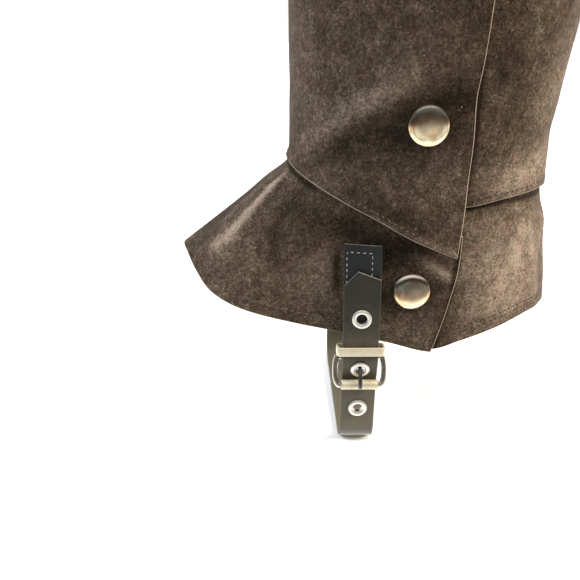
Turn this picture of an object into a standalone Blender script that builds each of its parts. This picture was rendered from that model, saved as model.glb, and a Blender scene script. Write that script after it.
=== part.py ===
# Suede boot cover, worn form: a shaft closed by snaps, a foot part that flares over the instep,
# and a buckled strap that passes under the arch. Metres, +Z up. The origin is the middle of the
# ankle, the toe lies toward -X, the heel toward +X, and the side with the closure faces -Y.
import bmesh
import bpy
from math import atan2, cos, degrees, exp, pi, radians, sin
from mathutils import Matrix, Vector

# Cloth and leather
SUEDE_THICKNESS = 0.0014
LAYER_GAP = 0.0004
LAYER_STEP = SUEDE_THICKNESS + LAYER_GAP
SEAM_LAP = 0.010
LAP_EASE = 0.0004
TOP_HEIGHT = 0.205
BEND_REACH = 0.009
RING_POWER = 2.3

# Angles run round the leg in degrees: 0 at the instep, 90 at the closure side, 180 at the heel
SEAM_ANGLE = -92.0
SEAM_HALF_GAP = 0.22
HIDDEN_EDGE_ANGLE = 70.0
CLOSURE_FADE = (45.0, 66.0)
LAP_FADE = (0.014, 0.046)
# How far the free corners of the shaft's flap and of the foot part stand off the cloth below
FLAP_STAND = 0.0042
TIP_STAND = 0.0022

# Inner face of the shaft: height, toe reach, heel reach, half width
RINGS = (
    (-0.010, 0.0615, 0.0594, 0.0478),
    (0.004, 0.0598, 0.0586, 0.0476),
    (0.018, 0.0598, 0.0592, 0.0480),
    (0.034, 0.0614, 0.0619, 0.0490),
    (0.051, 0.0622, 0.0641, 0.0502),
    (0.090, 0.0628, 0.0692, 0.0528),
    (0.140, 0.0645, 0.0755, 0.0562),
    (0.205, 0.0670, 0.0825, 0.0600),
)

# Ribs of the foot part run from the bend at the ankle straight down to the hem:
# angle, bend height, hem x, hem y, hem z
RIBS = (
    (0, 0.0060, -0.1182, 0.0000, -0.0390),
    (9, 0.0056, -0.1148, 0.0125, -0.0408),
    (18, 0.0046, -0.1092, 0.0258, -0.0458),
    (27, 0.0032, -0.1010, 0.0375, -0.0522),
    (36, 0.0016, -0.0870, 0.0450, -0.0575),
    (48, -0.0008, -0.0635, 0.0476, -0.0632),
    (60, -0.0026, -0.0410, 0.0485, -0.0672),
    (75, -0.0040, -0.0185, 0.0495, -0.0720),
    (90, -0.0044, 0.0026, 0.0500, -0.0765),
    (105, -0.0044, 0.0170, 0.0488, -0.0728),
    (120, -0.0041, 0.0338, 0.0440, -0.0686),
    (135, -0.0039, 0.0482, 0.0350, -0.0662),
    (150, -0.0037, 0.0598, 0.0240, -0.0655),
    (165, -0.0036, 0.0682, 0.0120, -0.0664),
    (180, -0.0036, 0.0712, 0.0000, -0.0682),
)

# Lower edge of the front of the shaft, and of its back: angle, rise above the bend of the ankle
FRONT_LAP = (
    (-92, -0.0030), (-45, -0.0015), (0, -0.0012), (20, -0.0026), (41, -0.0056),
    (50, -0.0072), (65, -0.0110), (84, -0.0190), (100, -0.0250), (108, -0.0270),
)
REAR_LAP = (
    (70, 0.0000), (88, -0.0012), (106, -0.0032), (125, -0.0008), (147, 0.0008),
    (180, -0.0002), (225, -0.0010), (268, -0.0030),
)
# Free edges of the closure: rise above the bend, angle
SHAFT_EDGE = (
    (-0.0270, 99.5), (-0.0120, 102.5), (0.0010, 104.6), (0.0220, 105.6), (0.0430, 105.8),
    (0.0580, 106.6), (0.1200, 107.6), (0.2100, 108.4),
)
FOOT_EDGE = (
    (-0.0740, 89.5), (-0.0610, 94.0), (-0.0510, 97.5), (-0.0340, 102.6), (-0.0140, 105.0),
)

# Soft folds of the worn cloth, each a line on the form:
# from angle, from rise, to angle, to rise, half width, height
FOLDS = (
    (10, 0.010, 84, 0.062, 0.0090, 0.0018),
    (28, 0.011, 100, 0.046, 0.0100, -0.0026),
    (10, -0.012, 15, -0.060, 0.0060, 0.0020),
    (22, -0.012, 36, -0.052, 0.0075, -0.0022),
    (118, -0.018, 242, -0.018, 0.0080, 0.0014),
    (140, -0.020, 150, -0.062, 0.0060, 0.0014),
    (162, -0.018, 170, -0.060, 0.0065, 0.0012),
    (-20, 0.010, -80, 0.055, 0.0090, -0.0016),
    (-60, 0.020, -130, 0.065, 0.0090, 0.0014),
    (-8, -0.014, -30, -0.056, 0.0075, 0.0014),
    (-140, -0.018, -150, -0.060, 0.0065, 0.0014),
    (150, 0.020, 200, 0.050, 0.0090, -0.0013),
    (-40, 0.110, 40, 0.125, 0.0120, -0.0016),
    (60, 0.100, 140, 0.125, 0.0120, 0.0014),
)
FOLD_GIRTH = 0.00095

# Strap and its hardware
STRAP_X = -0.0305
STRAP_WIDTH = 0.0166
STRAP_THICKNESS = 0.0019
STRAP_TIP_HEIGHT = -0.0364
STRAP_TIP_FALL = 0.0048
STRAP_TIP_RUN = 0.022
STRAP_FLOOR = -0.1278
STRAP_CORNER = 0.011
STRAP_INNER_END = -0.0300
BASE_WIDTH = 0.0168
BASE_THICKNESS = 0.0016
BASE_TOP = -0.0247
LEATHER_GAP = 0.0003
HEM_CLEAR = -0.0680
INNER_CLEAR = -0.0730
FREE_HANG = -0.0740
EYELET_HEIGHTS = (-0.0587, -0.0840, -0.1074)
EYELET_RADIUS = 0.0046
EYELET_BORE = 0.00245
EYELET_FLANGE = 0.0005
HINGE = Vector((STRAP_X, -0.0513, -0.0805))
HINGE_RADIUS = 0.0011
HINGE_LENGTH = 0.0210
ROLLER = Vector((STRAP_X, -0.0564, -0.0925))
ROLLER_RADIUS = 0.0024
ROLLER_BORE = 0.0016
ROLLER_LENGTH = 0.0174
ROLLER_BAR_RADIUS = 0.0013
ROLLER_BAR_LENGTH = 0.0200
METAL_BEVEL = 0.0004
# Outline of one arm in the buckle's plane, clear of the roller's end: across, along from the hinge
ARM_HALF_THICKNESS = 0.0013
ARM_OUTLINE = (
    (0.0095, -0.0022), (0.0113, -0.0024), (0.0126, 0.0005), (0.0133, 0.0040), (0.0134, 0.0085),
    (0.0129, 0.0112), (0.0118, 0.0134), (0.0105, 0.0146), (0.0091, 0.0149), (0.0091, 0.0112),
    (0.0095, 0.0104), (0.0098, 0.0085), (0.0097, 0.0040),
)
# Middle line of the prong: y, z
PRONG_RADIUS = 0.0010
PRONG_LINE = (
    (-0.0527, -0.0824), (-0.0542, -0.0833), (-0.0556, -0.0841), (-0.0570, -0.0852), (-0.0583, -0.0868),
    (-0.0593, -0.0888), (-0.0600, -0.0908), (-0.0602, -0.0924),
)
PRONG_SLOT = (0.0034, 0.0050, 0.0052)
PRONG_SLOT_MIDDLE = HINGE + Vector((0.0, -0.0020, -0.0008))
# Metal loop above the buckle, a band round the base and the strap, leaning out at its foot
KEEPER_MIDDLE = Vector((STRAP_X, -0.0547, -0.0747))
KEEPER_LEAN = -4.0
KEEPER_SIZE = (0.0228, 0.0076, 0.0050)
KEEPER_WINDOW = (0.0200, 0.0052, 0.0120)
# Inner face of the free strap below the hem of the suede: height, y
STRAP_RUN = (
    (-0.1400, -0.0500), (-0.1180, -0.0502), (-0.1080, -0.0506), (-0.0990, -0.0512), (-0.0925, -0.0514),
    (-0.0870, -0.0529), (-0.0805, -0.0548), (-0.0752, -0.0547), (-0.0680, -0.0543), (-0.0600, -0.0539),
)

# Snaps on the closure side: x and height of the cap's middle
SNAPS = ((-0.0081, -0.0461), (-0.0056, 0.0278), (-0.0040, 0.1028), (-0.0020, 0.1778))
CAP_RADIUS = 0.0085
CAP_HEIGHT = 0.0032
BACK_RADIUS = 0.0052
BACK_HEIGHT = 0.0012
TURN_STEPS = 20


def clear_scene():
    for item in list(bpy.data.objects):
        bpy.data.objects.remove(item, do_unlink=True)


def make_collection(name):
    collection = bpy.data.collections.new(name)
    bpy.context.scene.collection.children.link(collection)
    return collection


def make_material(name, colour, roughness, metallic):
    material = bpy.data.materials.new(name)
    material.use_nodes = True
    shader = material.node_tree.nodes["Principled BSDF"]
    shader.inputs["Base Color"].default_value = (*colour, 1.0)
    shader.inputs["Roughness"].default_value = roughness
    shader.inputs["Metallic"].default_value = metallic
    return material


def smooth(value, start, end):
    part = min(1.0, max(0.0, (value - start) / (end - start)))
    return part * part * (3.0 - 2.0 * part)


def read_table(rows, key):
    # Smooth values between the rows, with slopes taken from the neighbouring rows
    last = len(rows) - 2
    index = 0
    while index < last and key > rows[index + 1][0]:
        index += 1
    low, high = rows[index], rows[index + 1]
    below = rows[max(index - 1, 0)]
    above = rows[min(index + 2, len(rows) - 1)]
    span = high[0] - low[0]
    part = min(1.0, max(0.0, (key - low[0]) / span))
    values = []
    for column in range(1, len(low)):
        slope_low = (high[column] - below[column]) / (high[0] - below[0]) * span
        slope_high = (above[column] - low[column]) / (above[0] - low[0]) * span
        rise = high[column] - low[column]
        curve = slope_low + slope_high - 2.0 * rise
        bend = rise - slope_low - curve
        values.append(low[column] + part * (slope_low + part * (bend + part * curve)))
    return values


def closed_ribs():
    rows = []
    for turn in (-360, 0, 360):
        for angle, bend, x, y, z in RIBS:
            rows.append((turn + angle, bend, x, y, z))
            if 0 < angle < 180:
                rows.append((turn - angle, bend, x, -y, z))
    return sorted(rows)


ALL_RIBS = closed_ribs()


def ring_point(angle, height):
    toe_reach, heel_reach, half_width = read_table(RINGS, height)
    across = cos(radians(angle))
    aside = sin(radians(angle))
    reach = toe_reach if across > 0.0 else heel_reach
    total = (abs(across) / reach) ** RING_POWER + (abs(aside) / half_width) ** RING_POWER
    radius = total ** (-1.0 / RING_POWER)
    return Vector((-radius * across, -radius * aside, height))


def plain_point(angle, rise):
    # The form without folds: rings above the ankle's bend, straight ribs below it
    bend, x, y, z = read_table(ALL_RIBS, angle)
    corner = ring_point(angle, bend)
    down = (Vector((x, -y, z)) - corner).normalized()
    if rise >= BEND_REACH:
        return ring_point(angle, bend + rise)
    if rise <= -BEND_REACH:
        return corner - down * rise
    low = corner + down * BEND_REACH
    high = ring_point(angle, bend + BEND_REACH)
    part = (rise + BEND_REACH) / (2.0 * BEND_REACH)
    return low * (1 - part) ** 2 + corner * 2 * part * (1 - part) + high * part ** 2


def normal_of(function, angle, rise):
    along = function(angle + 0.5, rise) - function(angle - 0.5, rise)
    upward = function(angle, rise + 0.0005) - function(angle, rise - 0.0005)
    return along.cross(upward).normalized()


def fold_height(angle, rise):
    total = 0.0
    turned = (angle + 180.0) % 360.0 - 180.0
    for angle_a, rise_a, angle_b, rise_b, half_width, height in FOLDS:
        start = Vector((angle_a * FOLD_GIRTH, rise_a))
        line = Vector((angle_b * FOLD_GIRTH, rise_b)) - start
        for place_angle in (turned, turned + 360.0):
            place = Vector((place_angle * FOLD_GIRTH, rise)) - start
            along = place.dot(line) / line.length_squared
            if not -0.4 < along < 1.4:
                continue
            away = (place - line * along).length / half_width
            ends = smooth(along, -0.3, 0.35) * (1.0 - smooth(along, 0.65, 1.3))
            total += height * ends * exp(-away * away)
    return total


def form_point(angle, rise):
    point = plain_point(angle, rise)
    return point + normal_of(plain_point, angle, rise) * fold_height(angle, rise)


def raised_point(angle, rise, distance):
    return form_point(angle, rise) + normal_of(form_point, angle, rise) * distance


def lap_layer(angle, rise):
    bend = read_table(ALL_RIBS, angle)[0]
    return 1.0 - smooth(bend + rise, *LAP_FADE)


def closure_layer(angle):
    return smooth(angle, *CLOSURE_FADE)


def foot_rear_height(angle, rise):
    return 0.0


def foot_front_height(angle, rise):
    loose_tip = TIP_STAND * smooth(angle, 74.0, 100.0) * (1.0 - smooth(rise, -0.076, -0.040))
    return LAYER_STEP * closure_layer(angle) + loose_tip


def shaft_rear_height(angle, rise):
    return (LAYER_STEP + LAP_EASE) * lap_layer(angle, rise)


def shaft_front_height(angle, rise):
    layers = LAYER_STEP * closure_layer(angle) + (LAYER_STEP + LAP_EASE) * lap_layer(angle, rise)
    return layers + FLAP_STAND * smooth(angle, 44.0, 84.0) * (1.0 - smooth(rise, -0.030, 0.012))


def front_bottom(angle):
    return read_table(FRONT_LAP, angle)[0]


def rear_bottom(angle):
    return read_table(REAR_LAP, angle)[0]


def hem_rise(angle):
    bend, x, y, z = read_table(ALL_RIBS, angle)
    return -(Vector((x, -y, z)) - ring_point(angle, bend)).length


def top_rise(angle):
    return TOP_HEIGHT - read_table(ALL_RIBS, angle)[0]


def panel_edges(lower, upper, edge_left, edge_right):
    # A panel's cut: lower and upper edges give the rise at an angle, side edges the angle at a rise
    def settle(edge, level):
        angle = edge(level(90.0))
        for _ in range(6):
            angle = edge(level(angle))
        return angle

    corner_angles = [settle(edge, level) for level in (lower, upper) for edge in (edge_left, edge_right)]
    low_left, low_right, high_left, high_right = corner_angles

    def place(across, up):
        low_angle = low_left + (low_right - low_left) * across
        high_angle = high_left + (high_right - high_left) * across
        low = lower(low_angle)
        high = upper(high_angle)
        left_rise = lower(low_left) + (upper(high_left) - lower(low_left)) * up
        right_rise = lower(low_right) + (upper(high_right) - lower(low_right)) * up
        angle = edge_left(left_rise) * (1 - across) + edge_right(right_rise) * across
        return angle, low + (high - low) * up

    return place


def mesh_object(name, shape, material, collection):
    mesh = bpy.data.meshes.new(name)
    shape.to_mesh(mesh)
    shape.free()
    mesh.materials.append(material)
    result = bpy.data.objects.new(name, mesh)
    collection.objects.link(result)
    return result


def shade_round(item, limit=35.0):
    item.data.shade_smooth()
    item.data.set_sharp_from_angle(angle=radians(limit))


def sheet_object(name, columns, rows, place, thickness, material, collection):
    # A grid moved onto the form and given its thickness on the outer side
    shape = bmesh.new()
    bmesh.ops.create_grid(shape, x_segments=columns, y_segments=rows, size=0.5)
    for vert in shape.verts:
        vert.co = place(vert.co.x + 0.5, vert.co.y + 0.5)
    result = mesh_object(name, shape, material, collection)
    wall = result.modifiers.new("thickness", "SOLIDIFY")
    wall.thickness = thickness
    wall.offset = 1.0
    result.data.shade_smooth()
    return result


def suede_panel(name, columns, rows, crowding, edges, height, material, collection):
    # Crowding above 1 brings the rows closer together toward the lower edge
    def place(across, up):
        angle, rise = edges(across, up ** crowding)
        return raised_point(angle, rise, height(angle, rise))

    return sheet_object(name, columns, rows, place, SUEDE_THICKNESS, material, collection)


def find_on_form(x, z, height, side=1.0, extra=0.0):
    # The angle and rise whose point, raised by height and extra, lies at x and z
    angle = degrees(atan2(0.050 * side, -x))
    rise = z + 0.003

    def reach(place_angle, place_rise):
        return raised_point(place_angle, place_rise, height(place_angle, place_rise) + extra)

    for _ in range(8):
        here = reach(angle, rise)
        by_angle = (reach(angle + 0.5, rise) - here) / 0.5
        by_rise = (reach(angle, rise + 0.0005) - here) / 0.0005
        miss_x = x - here.x
        miss_z = z - here.z
        scale = by_angle.x * by_rise.z - by_rise.x * by_angle.z
        angle += (miss_x * by_rise.z - by_rise.x * miss_z) / scale
        rise += (by_angle.x * miss_z - miss_x * by_angle.z) / scale
    return angle, rise


def suede_depth(x, z, side=1.0):
    # y of the foot front's outer face, with the gap that leather keeps to it
    extra = SUEDE_THICKNESS + LEATHER_GAP
    angle, rise = find_on_form(x, z, foot_front_height, side, extra)
    return raised_point(angle, rise, foot_front_height(angle, rise) + extra).y


def build_suede(material, collection):
    def seam_front(rise):
        return SEAM_ANGLE + SEAM_HALF_GAP

    def seam_rear(rise):
        return SEAM_ANGLE + 360.0 - SEAM_HALF_GAP

    def hidden_edge(rise):
        return HIDDEN_EDGE_ANGLE

    def shaft_edge(rise):
        return read_table(SHAFT_EDGE, rise)[0]

    def foot_edge(rise):
        return read_table(FOOT_EDGE, rise)[0]

    def foot_front_top(angle):
        return front_bottom(angle) + SEAM_LAP

    def foot_rear_top(angle):
        return rear_bottom(angle) + SEAM_LAP

    # Name, columns, rows, crowding, lower, upper, left and right edge, height above the form
    cuts = (
        ("foot_rear", 20, 9, 1.0, hem_rise, foot_rear_top, hidden_edge, seam_rear, foot_rear_height),
        ("foot_front", 26, 11, 1.0, hem_rise, foot_front_top, seam_front, foot_edge, foot_front_height),
        ("shaft_rear", 20, 17, 1.35, rear_bottom, top_rise, hidden_edge, seam_rear, shaft_rear_height),
        ("shaft_front", 24, 19, 1.4, front_bottom, top_rise, seam_front, shaft_edge, shaft_front_height),
    )
    for name, columns, rows, crowding, lower, upper, left, right, height in cuts:
        edges = panel_edges(lower, upper, left, right)
        suede_panel(name, columns, rows, crowding, edges, height, material, collection)


def path_lengths(points):
    lengths = [0.0]
    for before, after in zip(points, points[1:]):
        lengths.append(lengths[-1] + (after - before).length)
    return lengths


def along_path(points, lengths, distance):
    index = 0
    while index < len(points) - 2 and distance > lengths[index + 1]:
        index += 1
    part = (distance - lengths[index]) / (lengths[index + 1] - lengths[index])
    return points[index].lerp(points[index + 1], part)


def base_path():
    # Inner face of the buckle's short leather, as y and z, round the hinge bar and back up
    points = []
    steps = 12
    for step in range(steps + 1):
        z = BASE_TOP + (HEM_CLEAR - BASE_TOP) * step / steps
        points.append(Vector((suede_depth(STRAP_X, z), z)))
    wrap = HINGE_RADIUS + LEATHER_GAP
    centre = Vector((HINGE.y, HINGE.z))
    points.append(Vector((points[-1].x * 0.5 + (centre.x - wrap) * 0.5, FREE_HANG)))
    for step in range(9):
        turn = pi * (1.0 + step / 8.0)
        points.append(centre + Vector((cos(turn), sin(turn))) * wrap)
    points.append(centre + Vector((wrap, 0.0022)))
    return points


def strap_path():
    points = []
    steps = 8
    lift = BASE_THICKNESS + LEATHER_GAP
    for step in range(steps):
        z = STRAP_TIP_HEIGHT + (HEM_CLEAR - STRAP_TIP_HEIGHT) * step / steps
        points.append(Vector((suede_depth(STRAP_X, z) - lift, z)))
    corner_top = STRAP_FLOOR + STRAP_CORNER
    steps = 18
    for step in range(steps + 1):
        z = HEM_CLEAR + (corner_top - HEM_CLEAR) * step / steps
        points.append(Vector((read_table(STRAP_RUN, z)[0], z)))
    side_y = points[-1].x
    for step in range(1, 7):
        turn = 0.5 * pi * step / 6
        y = side_y + STRAP_CORNER * (1.0 - cos(turn))
        points.append(Vector((y, corner_top - STRAP_CORNER * sin(turn))))
    under = [Vector((-point.x, point.y)) for point in reversed(points[-7:])]
    points.extend(under)
    steps = 6
    inner_hem = suede_depth(STRAP_X, INNER_CLEAR, -1.0)
    for step in range(1, steps + 1):
        part = step / steps
        z = corner_top + (INNER_CLEAR - corner_top) * part
        points.append(Vector((-side_y + (inner_hem + side_y) * smooth(part, 0.0, 1.0), z)))
    steps = 7
    for step in range(1, steps + 1):
        z = INNER_CLEAR + (STRAP_INNER_END - INNER_CLEAR) * step / steps
        points.append(Vector((suede_depth(STRAP_X, z, -1.0), z)))
    return points


def lean(x, z, side):
    # How much deeper the suede lies at x than at the strap's middle
    clear = HEM_CLEAR if side > 0.0 else INNER_CLEAR
    hold = smooth(z, clear - 0.010, clear)
    if hold == 0.0:
        return 0.0
    height = max(z, clear)
    return hold * (suede_depth(x, height, side) - suede_depth(STRAP_X, height, side))


def ribbon_place(points, width, fall, run, crowding):
    # Crowding above 1 brings the rows closer together toward the path's end
    lengths = path_lengths(points)

    def place(across, up):
        aside = (across - 0.5) * width
        distance = lengths[-1] * (1.0 - up ** crowding)
        slope = fall * abs(across - 0.5) * 2.0
        distance += slope * max(0.0, 1.0 - distance / run)
        spot = along_path(points, lengths, min(distance, lengths[-1]))
        side = 1.0 if spot.x < 0.0 else -1.0
        x = STRAP_X + aside
        return Vector((x, spot.x + lean(x, spot.y, side), spot.y))

    return place


def cylinder(name, radius, length, matrix, sides, collection, material=None):
    shape = bmesh.new()
    bmesh.ops.create_cone(shape, cap_ends=True, segments=sides, radius1=radius, radius2=radius, depth=length)
    bmesh.ops.transform(shape, matrix=matrix, verts=shape.verts)
    mesh = bpy.data.meshes.new(name)
    shape.to_mesh(mesh)
    shape.free()
    if material:
        mesh.materials.append(material)
    result = bpy.data.objects.new(name, mesh)
    collection.objects.link(result)
    return result


def box(name, size, matrix, collection):
    shape = bmesh.new()
    bmesh.ops.create_cube(shape, size=1.0)
    bmesh.ops.scale(shape, vec=size, verts=shape.verts)
    bmesh.ops.transform(shape, matrix=matrix, verts=shape.verts)
    mesh = bpy.data.meshes.new(name)
    shape.to_mesh(mesh)
    shape.free()
    result = bpy.data.objects.new(name, mesh)
    collection.objects.link(result)
    return result


def combine(item, tool, operation):
    step = item.modifiers.new(tool.name, "BOOLEAN")
    step.operation = operation
    step.solver = "EXACT"
    step.object = tool
    tool.hide_render = True
    tool.display_type = "WIRE"


def ribbon_face(place, height):
    # Middle of a ribbon's inner face at a height on the closure side, and the way it faces
    low, high = 0.55, 1.0
    for _ in range(30):
        middle = 0.5 * (low + high)
        if place(0.5, middle).z < height:
            low = middle
        else:
            high = middle
    across = place(0.7, low) - place(0.3, low)
    upward = place(0.5, low + 0.004) - place(0.5, low - 0.004)
    return place(0.5, low), across.cross(upward).normalized()


def turned(name, profile, spot, facing, material, collection):
    # A profile of radius and height turned about the line that faces outward from the spot
    shape = bmesh.new()
    verts = [shape.verts.new((radius, 0.0, height)) for radius, height in profile]
    for start, end in zip(verts, verts[1:]):
        shape.edges.new((start, end))
    if profile[0][0] > 0.0:
        shape.edges.new((verts[-1], verts[0]))
    result = mesh_object(name, shape, material, collection)
    screw = result.modifiers.new("turn", "SCREW")
    screw.steps = TURN_STEPS
    screw.render_steps = TURN_STEPS
    screw.use_merge_vertices = True
    screw.merge_threshold = 0.00001
    result.matrix_world = Matrix.Translation(spot) @ facing.to_track_quat("Z", "Y").to_matrix().to_4x4()
    return result


def build_strap(leather, nickel, collection, cutters):
    base_place = ribbon_place(base_path(), BASE_WIDTH, 0.0, 1.0, 1.8)
    base = sheet_object("strap_base", 4, 26, base_place, BASE_THICKNESS, leather, collection)
    slot = box("prong_slot", PRONG_SLOT, Matrix.Translation(PRONG_SLOT_MIDDLE), cutters)
    combine(base, slot, "DIFFERENCE")
    strap_place = ribbon_place(strap_path(), STRAP_WIDTH, STRAP_TIP_FALL, STRAP_TIP_RUN, 1.0)
    strap = sheet_object("strap", 4, 60, strap_place, STRAP_THICKNESS, leather, collection)
    flange = EYELET_FLANGE
    barrel = EYELET_BORE + 0.0004
    for number, height in enumerate(EYELET_HEIGHTS, 1):
        inner, facing = ribbon_face(strap_place, height)
        spot = inner + facing * STRAP_THICKNESS
        turn = facing.to_track_quat("Z", "Y").to_matrix().to_4x4()
        middle = Matrix.Translation(spot - facing * STRAP_THICKNESS * 0.5) @ turn
        hole = cylinder(f"hole_{number}", barrel + 0.0003, 0.006, middle, 24, cutters)
        combine(strap, hole, "DIFFERENCE")
        back = -STRAP_THICKNESS
        profile = (
            (EYELET_BORE, back - 0.0001), (EYELET_BORE, LEATHER_GAP + flange),
            (barrel, LEATHER_GAP + flange + 0.0003), (EYELET_RADIUS - 0.0004, LEATHER_GAP + flange),
            (EYELET_RADIUS, LEATHER_GAP), (barrel, LEATHER_GAP), (barrel, back - 0.0001),
        )
        turned(f"eyelet_{number}", profile, spot, facing, nickel, collection)


def buckle_plane():
    # Frame of the buckle: across is +X, along runs from the hinge to the roller
    along = (ROLLER - HINGE).normalized()
    outward = Vector((1.0, 0.0, 0.0)).cross(along).normalized()
    turn = Matrix((Vector((1.0, 0.0, 0.0)), along, outward)).transposed().to_4x4()
    return Matrix.Translation(HINGE) @ turn


def build_buckle(steel, collection, cutters):
    plane = buckle_plane()
    curve = bpy.data.curves.new("arm_outline", "CURVE")
    curve.dimensions = "2D"
    curve.fill_mode = "BOTH"
    curve.extrude = ARM_HALF_THICKNESS
    line = curve.splines.new("POLY")
    line.points.add(len(ARM_OUTLINE) - 1)
    for spot, (across, along) in zip(line.points, ARM_OUTLINE):
        spot.co = (across, along, 0.0, 1.0)
    line.use_cyclic_u = True
    drawn = bpy.data.objects.new("arm_outline", curve)
    collection.objects.link(drawn)
    bpy.context.view_layer.update()
    flat = bpy.data.meshes.new_from_object(drawn.evaluated_get(bpy.context.evaluated_depsgraph_get()))
    bpy.data.objects.remove(drawn, do_unlink=True)
    shape = bmesh.new()
    shape.from_mesh(flat)
    bmesh.ops.remove_doubles(shape, verts=shape.verts, dist=0.00001)
    frame = mesh_object("buckle_frame", shape, steel, collection)
    frame.matrix_world = plane
    mirror = frame.modifiers.new("other arm", "MIRROR")
    mirror.use_axis[0] = True
    mirror.merge_threshold = 0.00001
    edge = frame.modifiers.new("soft edge", "BEVEL")
    edge.width = METAL_BEVEL
    edge.segments = 2
    edge.limit_method = "ANGLE"
    edge.angle_limit = radians(50.0)
    sideways = Matrix.Rotation(0.5 * pi, 4, "Y")
    hinge_place = Matrix.Translation(HINGE) @ sideways
    hinge_bar = cylinder("hinge_bar", HINGE_RADIUS, HINGE_LENGTH, hinge_place, 16, cutters)
    bar_place = Matrix.Translation(ROLLER) @ sideways
    roller_bar = cylinder("roller_bar", ROLLER_BAR_RADIUS, ROLLER_BAR_LENGTH, bar_place, 16, cutters)
    combine(frame, hinge_bar, "UNION")
    combine(frame, roller_bar, "UNION")
    half = ROLLER_LENGTH * 0.5
    shoulder = ROLLER_RADIUS - METAL_BEVEL
    profile = (
        (ROLLER_BORE, -half), (ROLLER_BORE, half), (shoulder, half), (ROLLER_RADIUS, half - METAL_BEVEL),
        (ROLLER_RADIUS, METAL_BEVEL - half), (shoulder, -half),
    )
    turned("buckle_roller", profile, ROLLER, Vector((1.0, 0.0, 0.0)), steel, collection)
    keeper_place = Matrix.Translation(KEEPER_MIDDLE) @ Matrix.Rotation(radians(KEEPER_LEAN), 4, "X")
    keeper = box("buckle_keeper", KEEPER_SIZE, keeper_place, collection)
    keeper.data.materials.append(steel)
    window = box("keeper_window", KEEPER_WINDOW, keeper_place, cutters)
    combine(keeper, window, "DIFFERENCE")
    edge = keeper.modifiers.new("soft edge", "BEVEL")
    edge.width = METAL_BEVEL
    edge.segments = 2
    edge.limit_method = "ANGLE"
    build_prong(steel, collection)


def build_prong(steel, collection):
    curve = bpy.data.curves.new("prong_line", "CURVE")
    curve.dimensions = "3D"
    curve.bevel_depth = PRONG_RADIUS
    curve.bevel_resolution = 3
    curve.use_fill_caps = True
    line = curve.splines.new("POLY")
    line.points.add(len(PRONG_LINE) - 1)
    for spot, (y, z) in zip(line.points, PRONG_LINE):
        spot.co = (STRAP_X, y, z, 1.0)
    drawn = bpy.data.objects.new("prong_line", curve)
    collection.objects.link(drawn)
    bpy.context.view_layer.update()
    flat = bpy.data.meshes.new_from_object(drawn.evaluated_get(bpy.context.evaluated_depsgraph_get()))
    bpy.data.objects.remove(drawn, do_unlink=True)
    shape = bmesh.new()
    shape.from_mesh(flat)
    bmesh.ops.remove_doubles(shape, verts=shape.verts, dist=0.00001)
    prong = mesh_object("buckle_prong", shape, steel, collection)
    shade_round(prong)


def seat_of_disc(angle, rise, height, radius, way):
    # A disc's middle and facing, just clear of the highest cloth under it; way is 1 out, -1 in
    wall = SUEDE_THICKNESS if way > 0.0 else 0.0
    facing = normal_of(form_point, angle, rise) * way
    seat = raised_point(angle, rise, height(angle, rise) + wall)
    highest = 0.0
    for step in range(12):
        turn = 2.0 * pi * step / 12
        near_angle = angle + radius * cos(turn) / FOLD_GIRTH
        near_rise = rise + radius * sin(turn)
        near = raised_point(near_angle, near_rise, height(near_angle, near_rise) + wall)
        highest = max(highest, (near - seat).dot(facing))
    return seat + facing * (highest + LEATHER_GAP), facing


def build_snaps(cap_metal, collection):
    for number, (x, z) in enumerate(SNAPS, 1):
        front = foot_front_height if number == 1 else shaft_front_height
        rear = foot_rear_height if number == 1 else shaft_rear_height
        angle, rise = find_on_form(x, z, front, 1.0, SUEDE_THICKNESS)
        seat, facing = seat_of_disc(angle, rise, front, CAP_RADIUS, 1.0)
        cap = (
            (0.0, CAP_HEIGHT), (CAP_RADIUS * 0.25, CAP_HEIGHT - 0.00005), (CAP_RADIUS * 0.50, 0.0030),
            (CAP_RADIUS * 0.78, 0.0026), (CAP_RADIUS - 0.0006, 0.0018), (CAP_RADIUS, 0.0011),
            (CAP_RADIUS, 0.0006), (CAP_RADIUS - 0.0008, 0.0), (0.0, 0.0),
        )
        turned(f"snap_cap_{number}", cap, seat, facing, cap_metal, collection)
        inside, inward = seat_of_disc(angle, rise, rear, BACK_RADIUS, -1.0)
        back = (
            (0.0, BACK_HEIGHT), (BACK_RADIUS - 0.0005, BACK_HEIGHT), (BACK_RADIUS, BACK_HEIGHT - 0.0005),
            (BACK_RADIUS, 0.0), (0.0, 0.0),
        )
        turned(f"snap_back_{number}", back, inside, inward, cap_metal, collection)


def build_cover():
    clear_scene()
    parts = make_collection("boot_cover")
    cutters = make_collection("cutters")
    suede = make_material("suede", (0.085, 0.062, 0.052), 0.95, 0.0)
    leather = make_material("black_leather", (0.020, 0.020, 0.019), 0.45, 0.0)
    nickel = make_material("nickel", (0.72, 0.70, 0.64), 0.28, 1.0)
    steel = make_material("warm_silver", (0.66, 0.60, 0.52), 0.30, 1.0)
    cap_metal = make_material("gunmetal", (0.34, 0.29, 0.25), 0.18, 1.0)
    build_suede(suede, parts)
    build_strap(leather, nickel, parts, cutters)
    build_buckle(steel, parts, cutters)
    build_snaps(cap_metal, parts)


build_cover()
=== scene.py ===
# Brown suede boot cover in its worn form, with a snapped closure and a buckled strap
from math import cos, pi, radians, sin

import bmesh
import bpy
import numpy as np
from mathutils import Matrix, Vector


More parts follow.
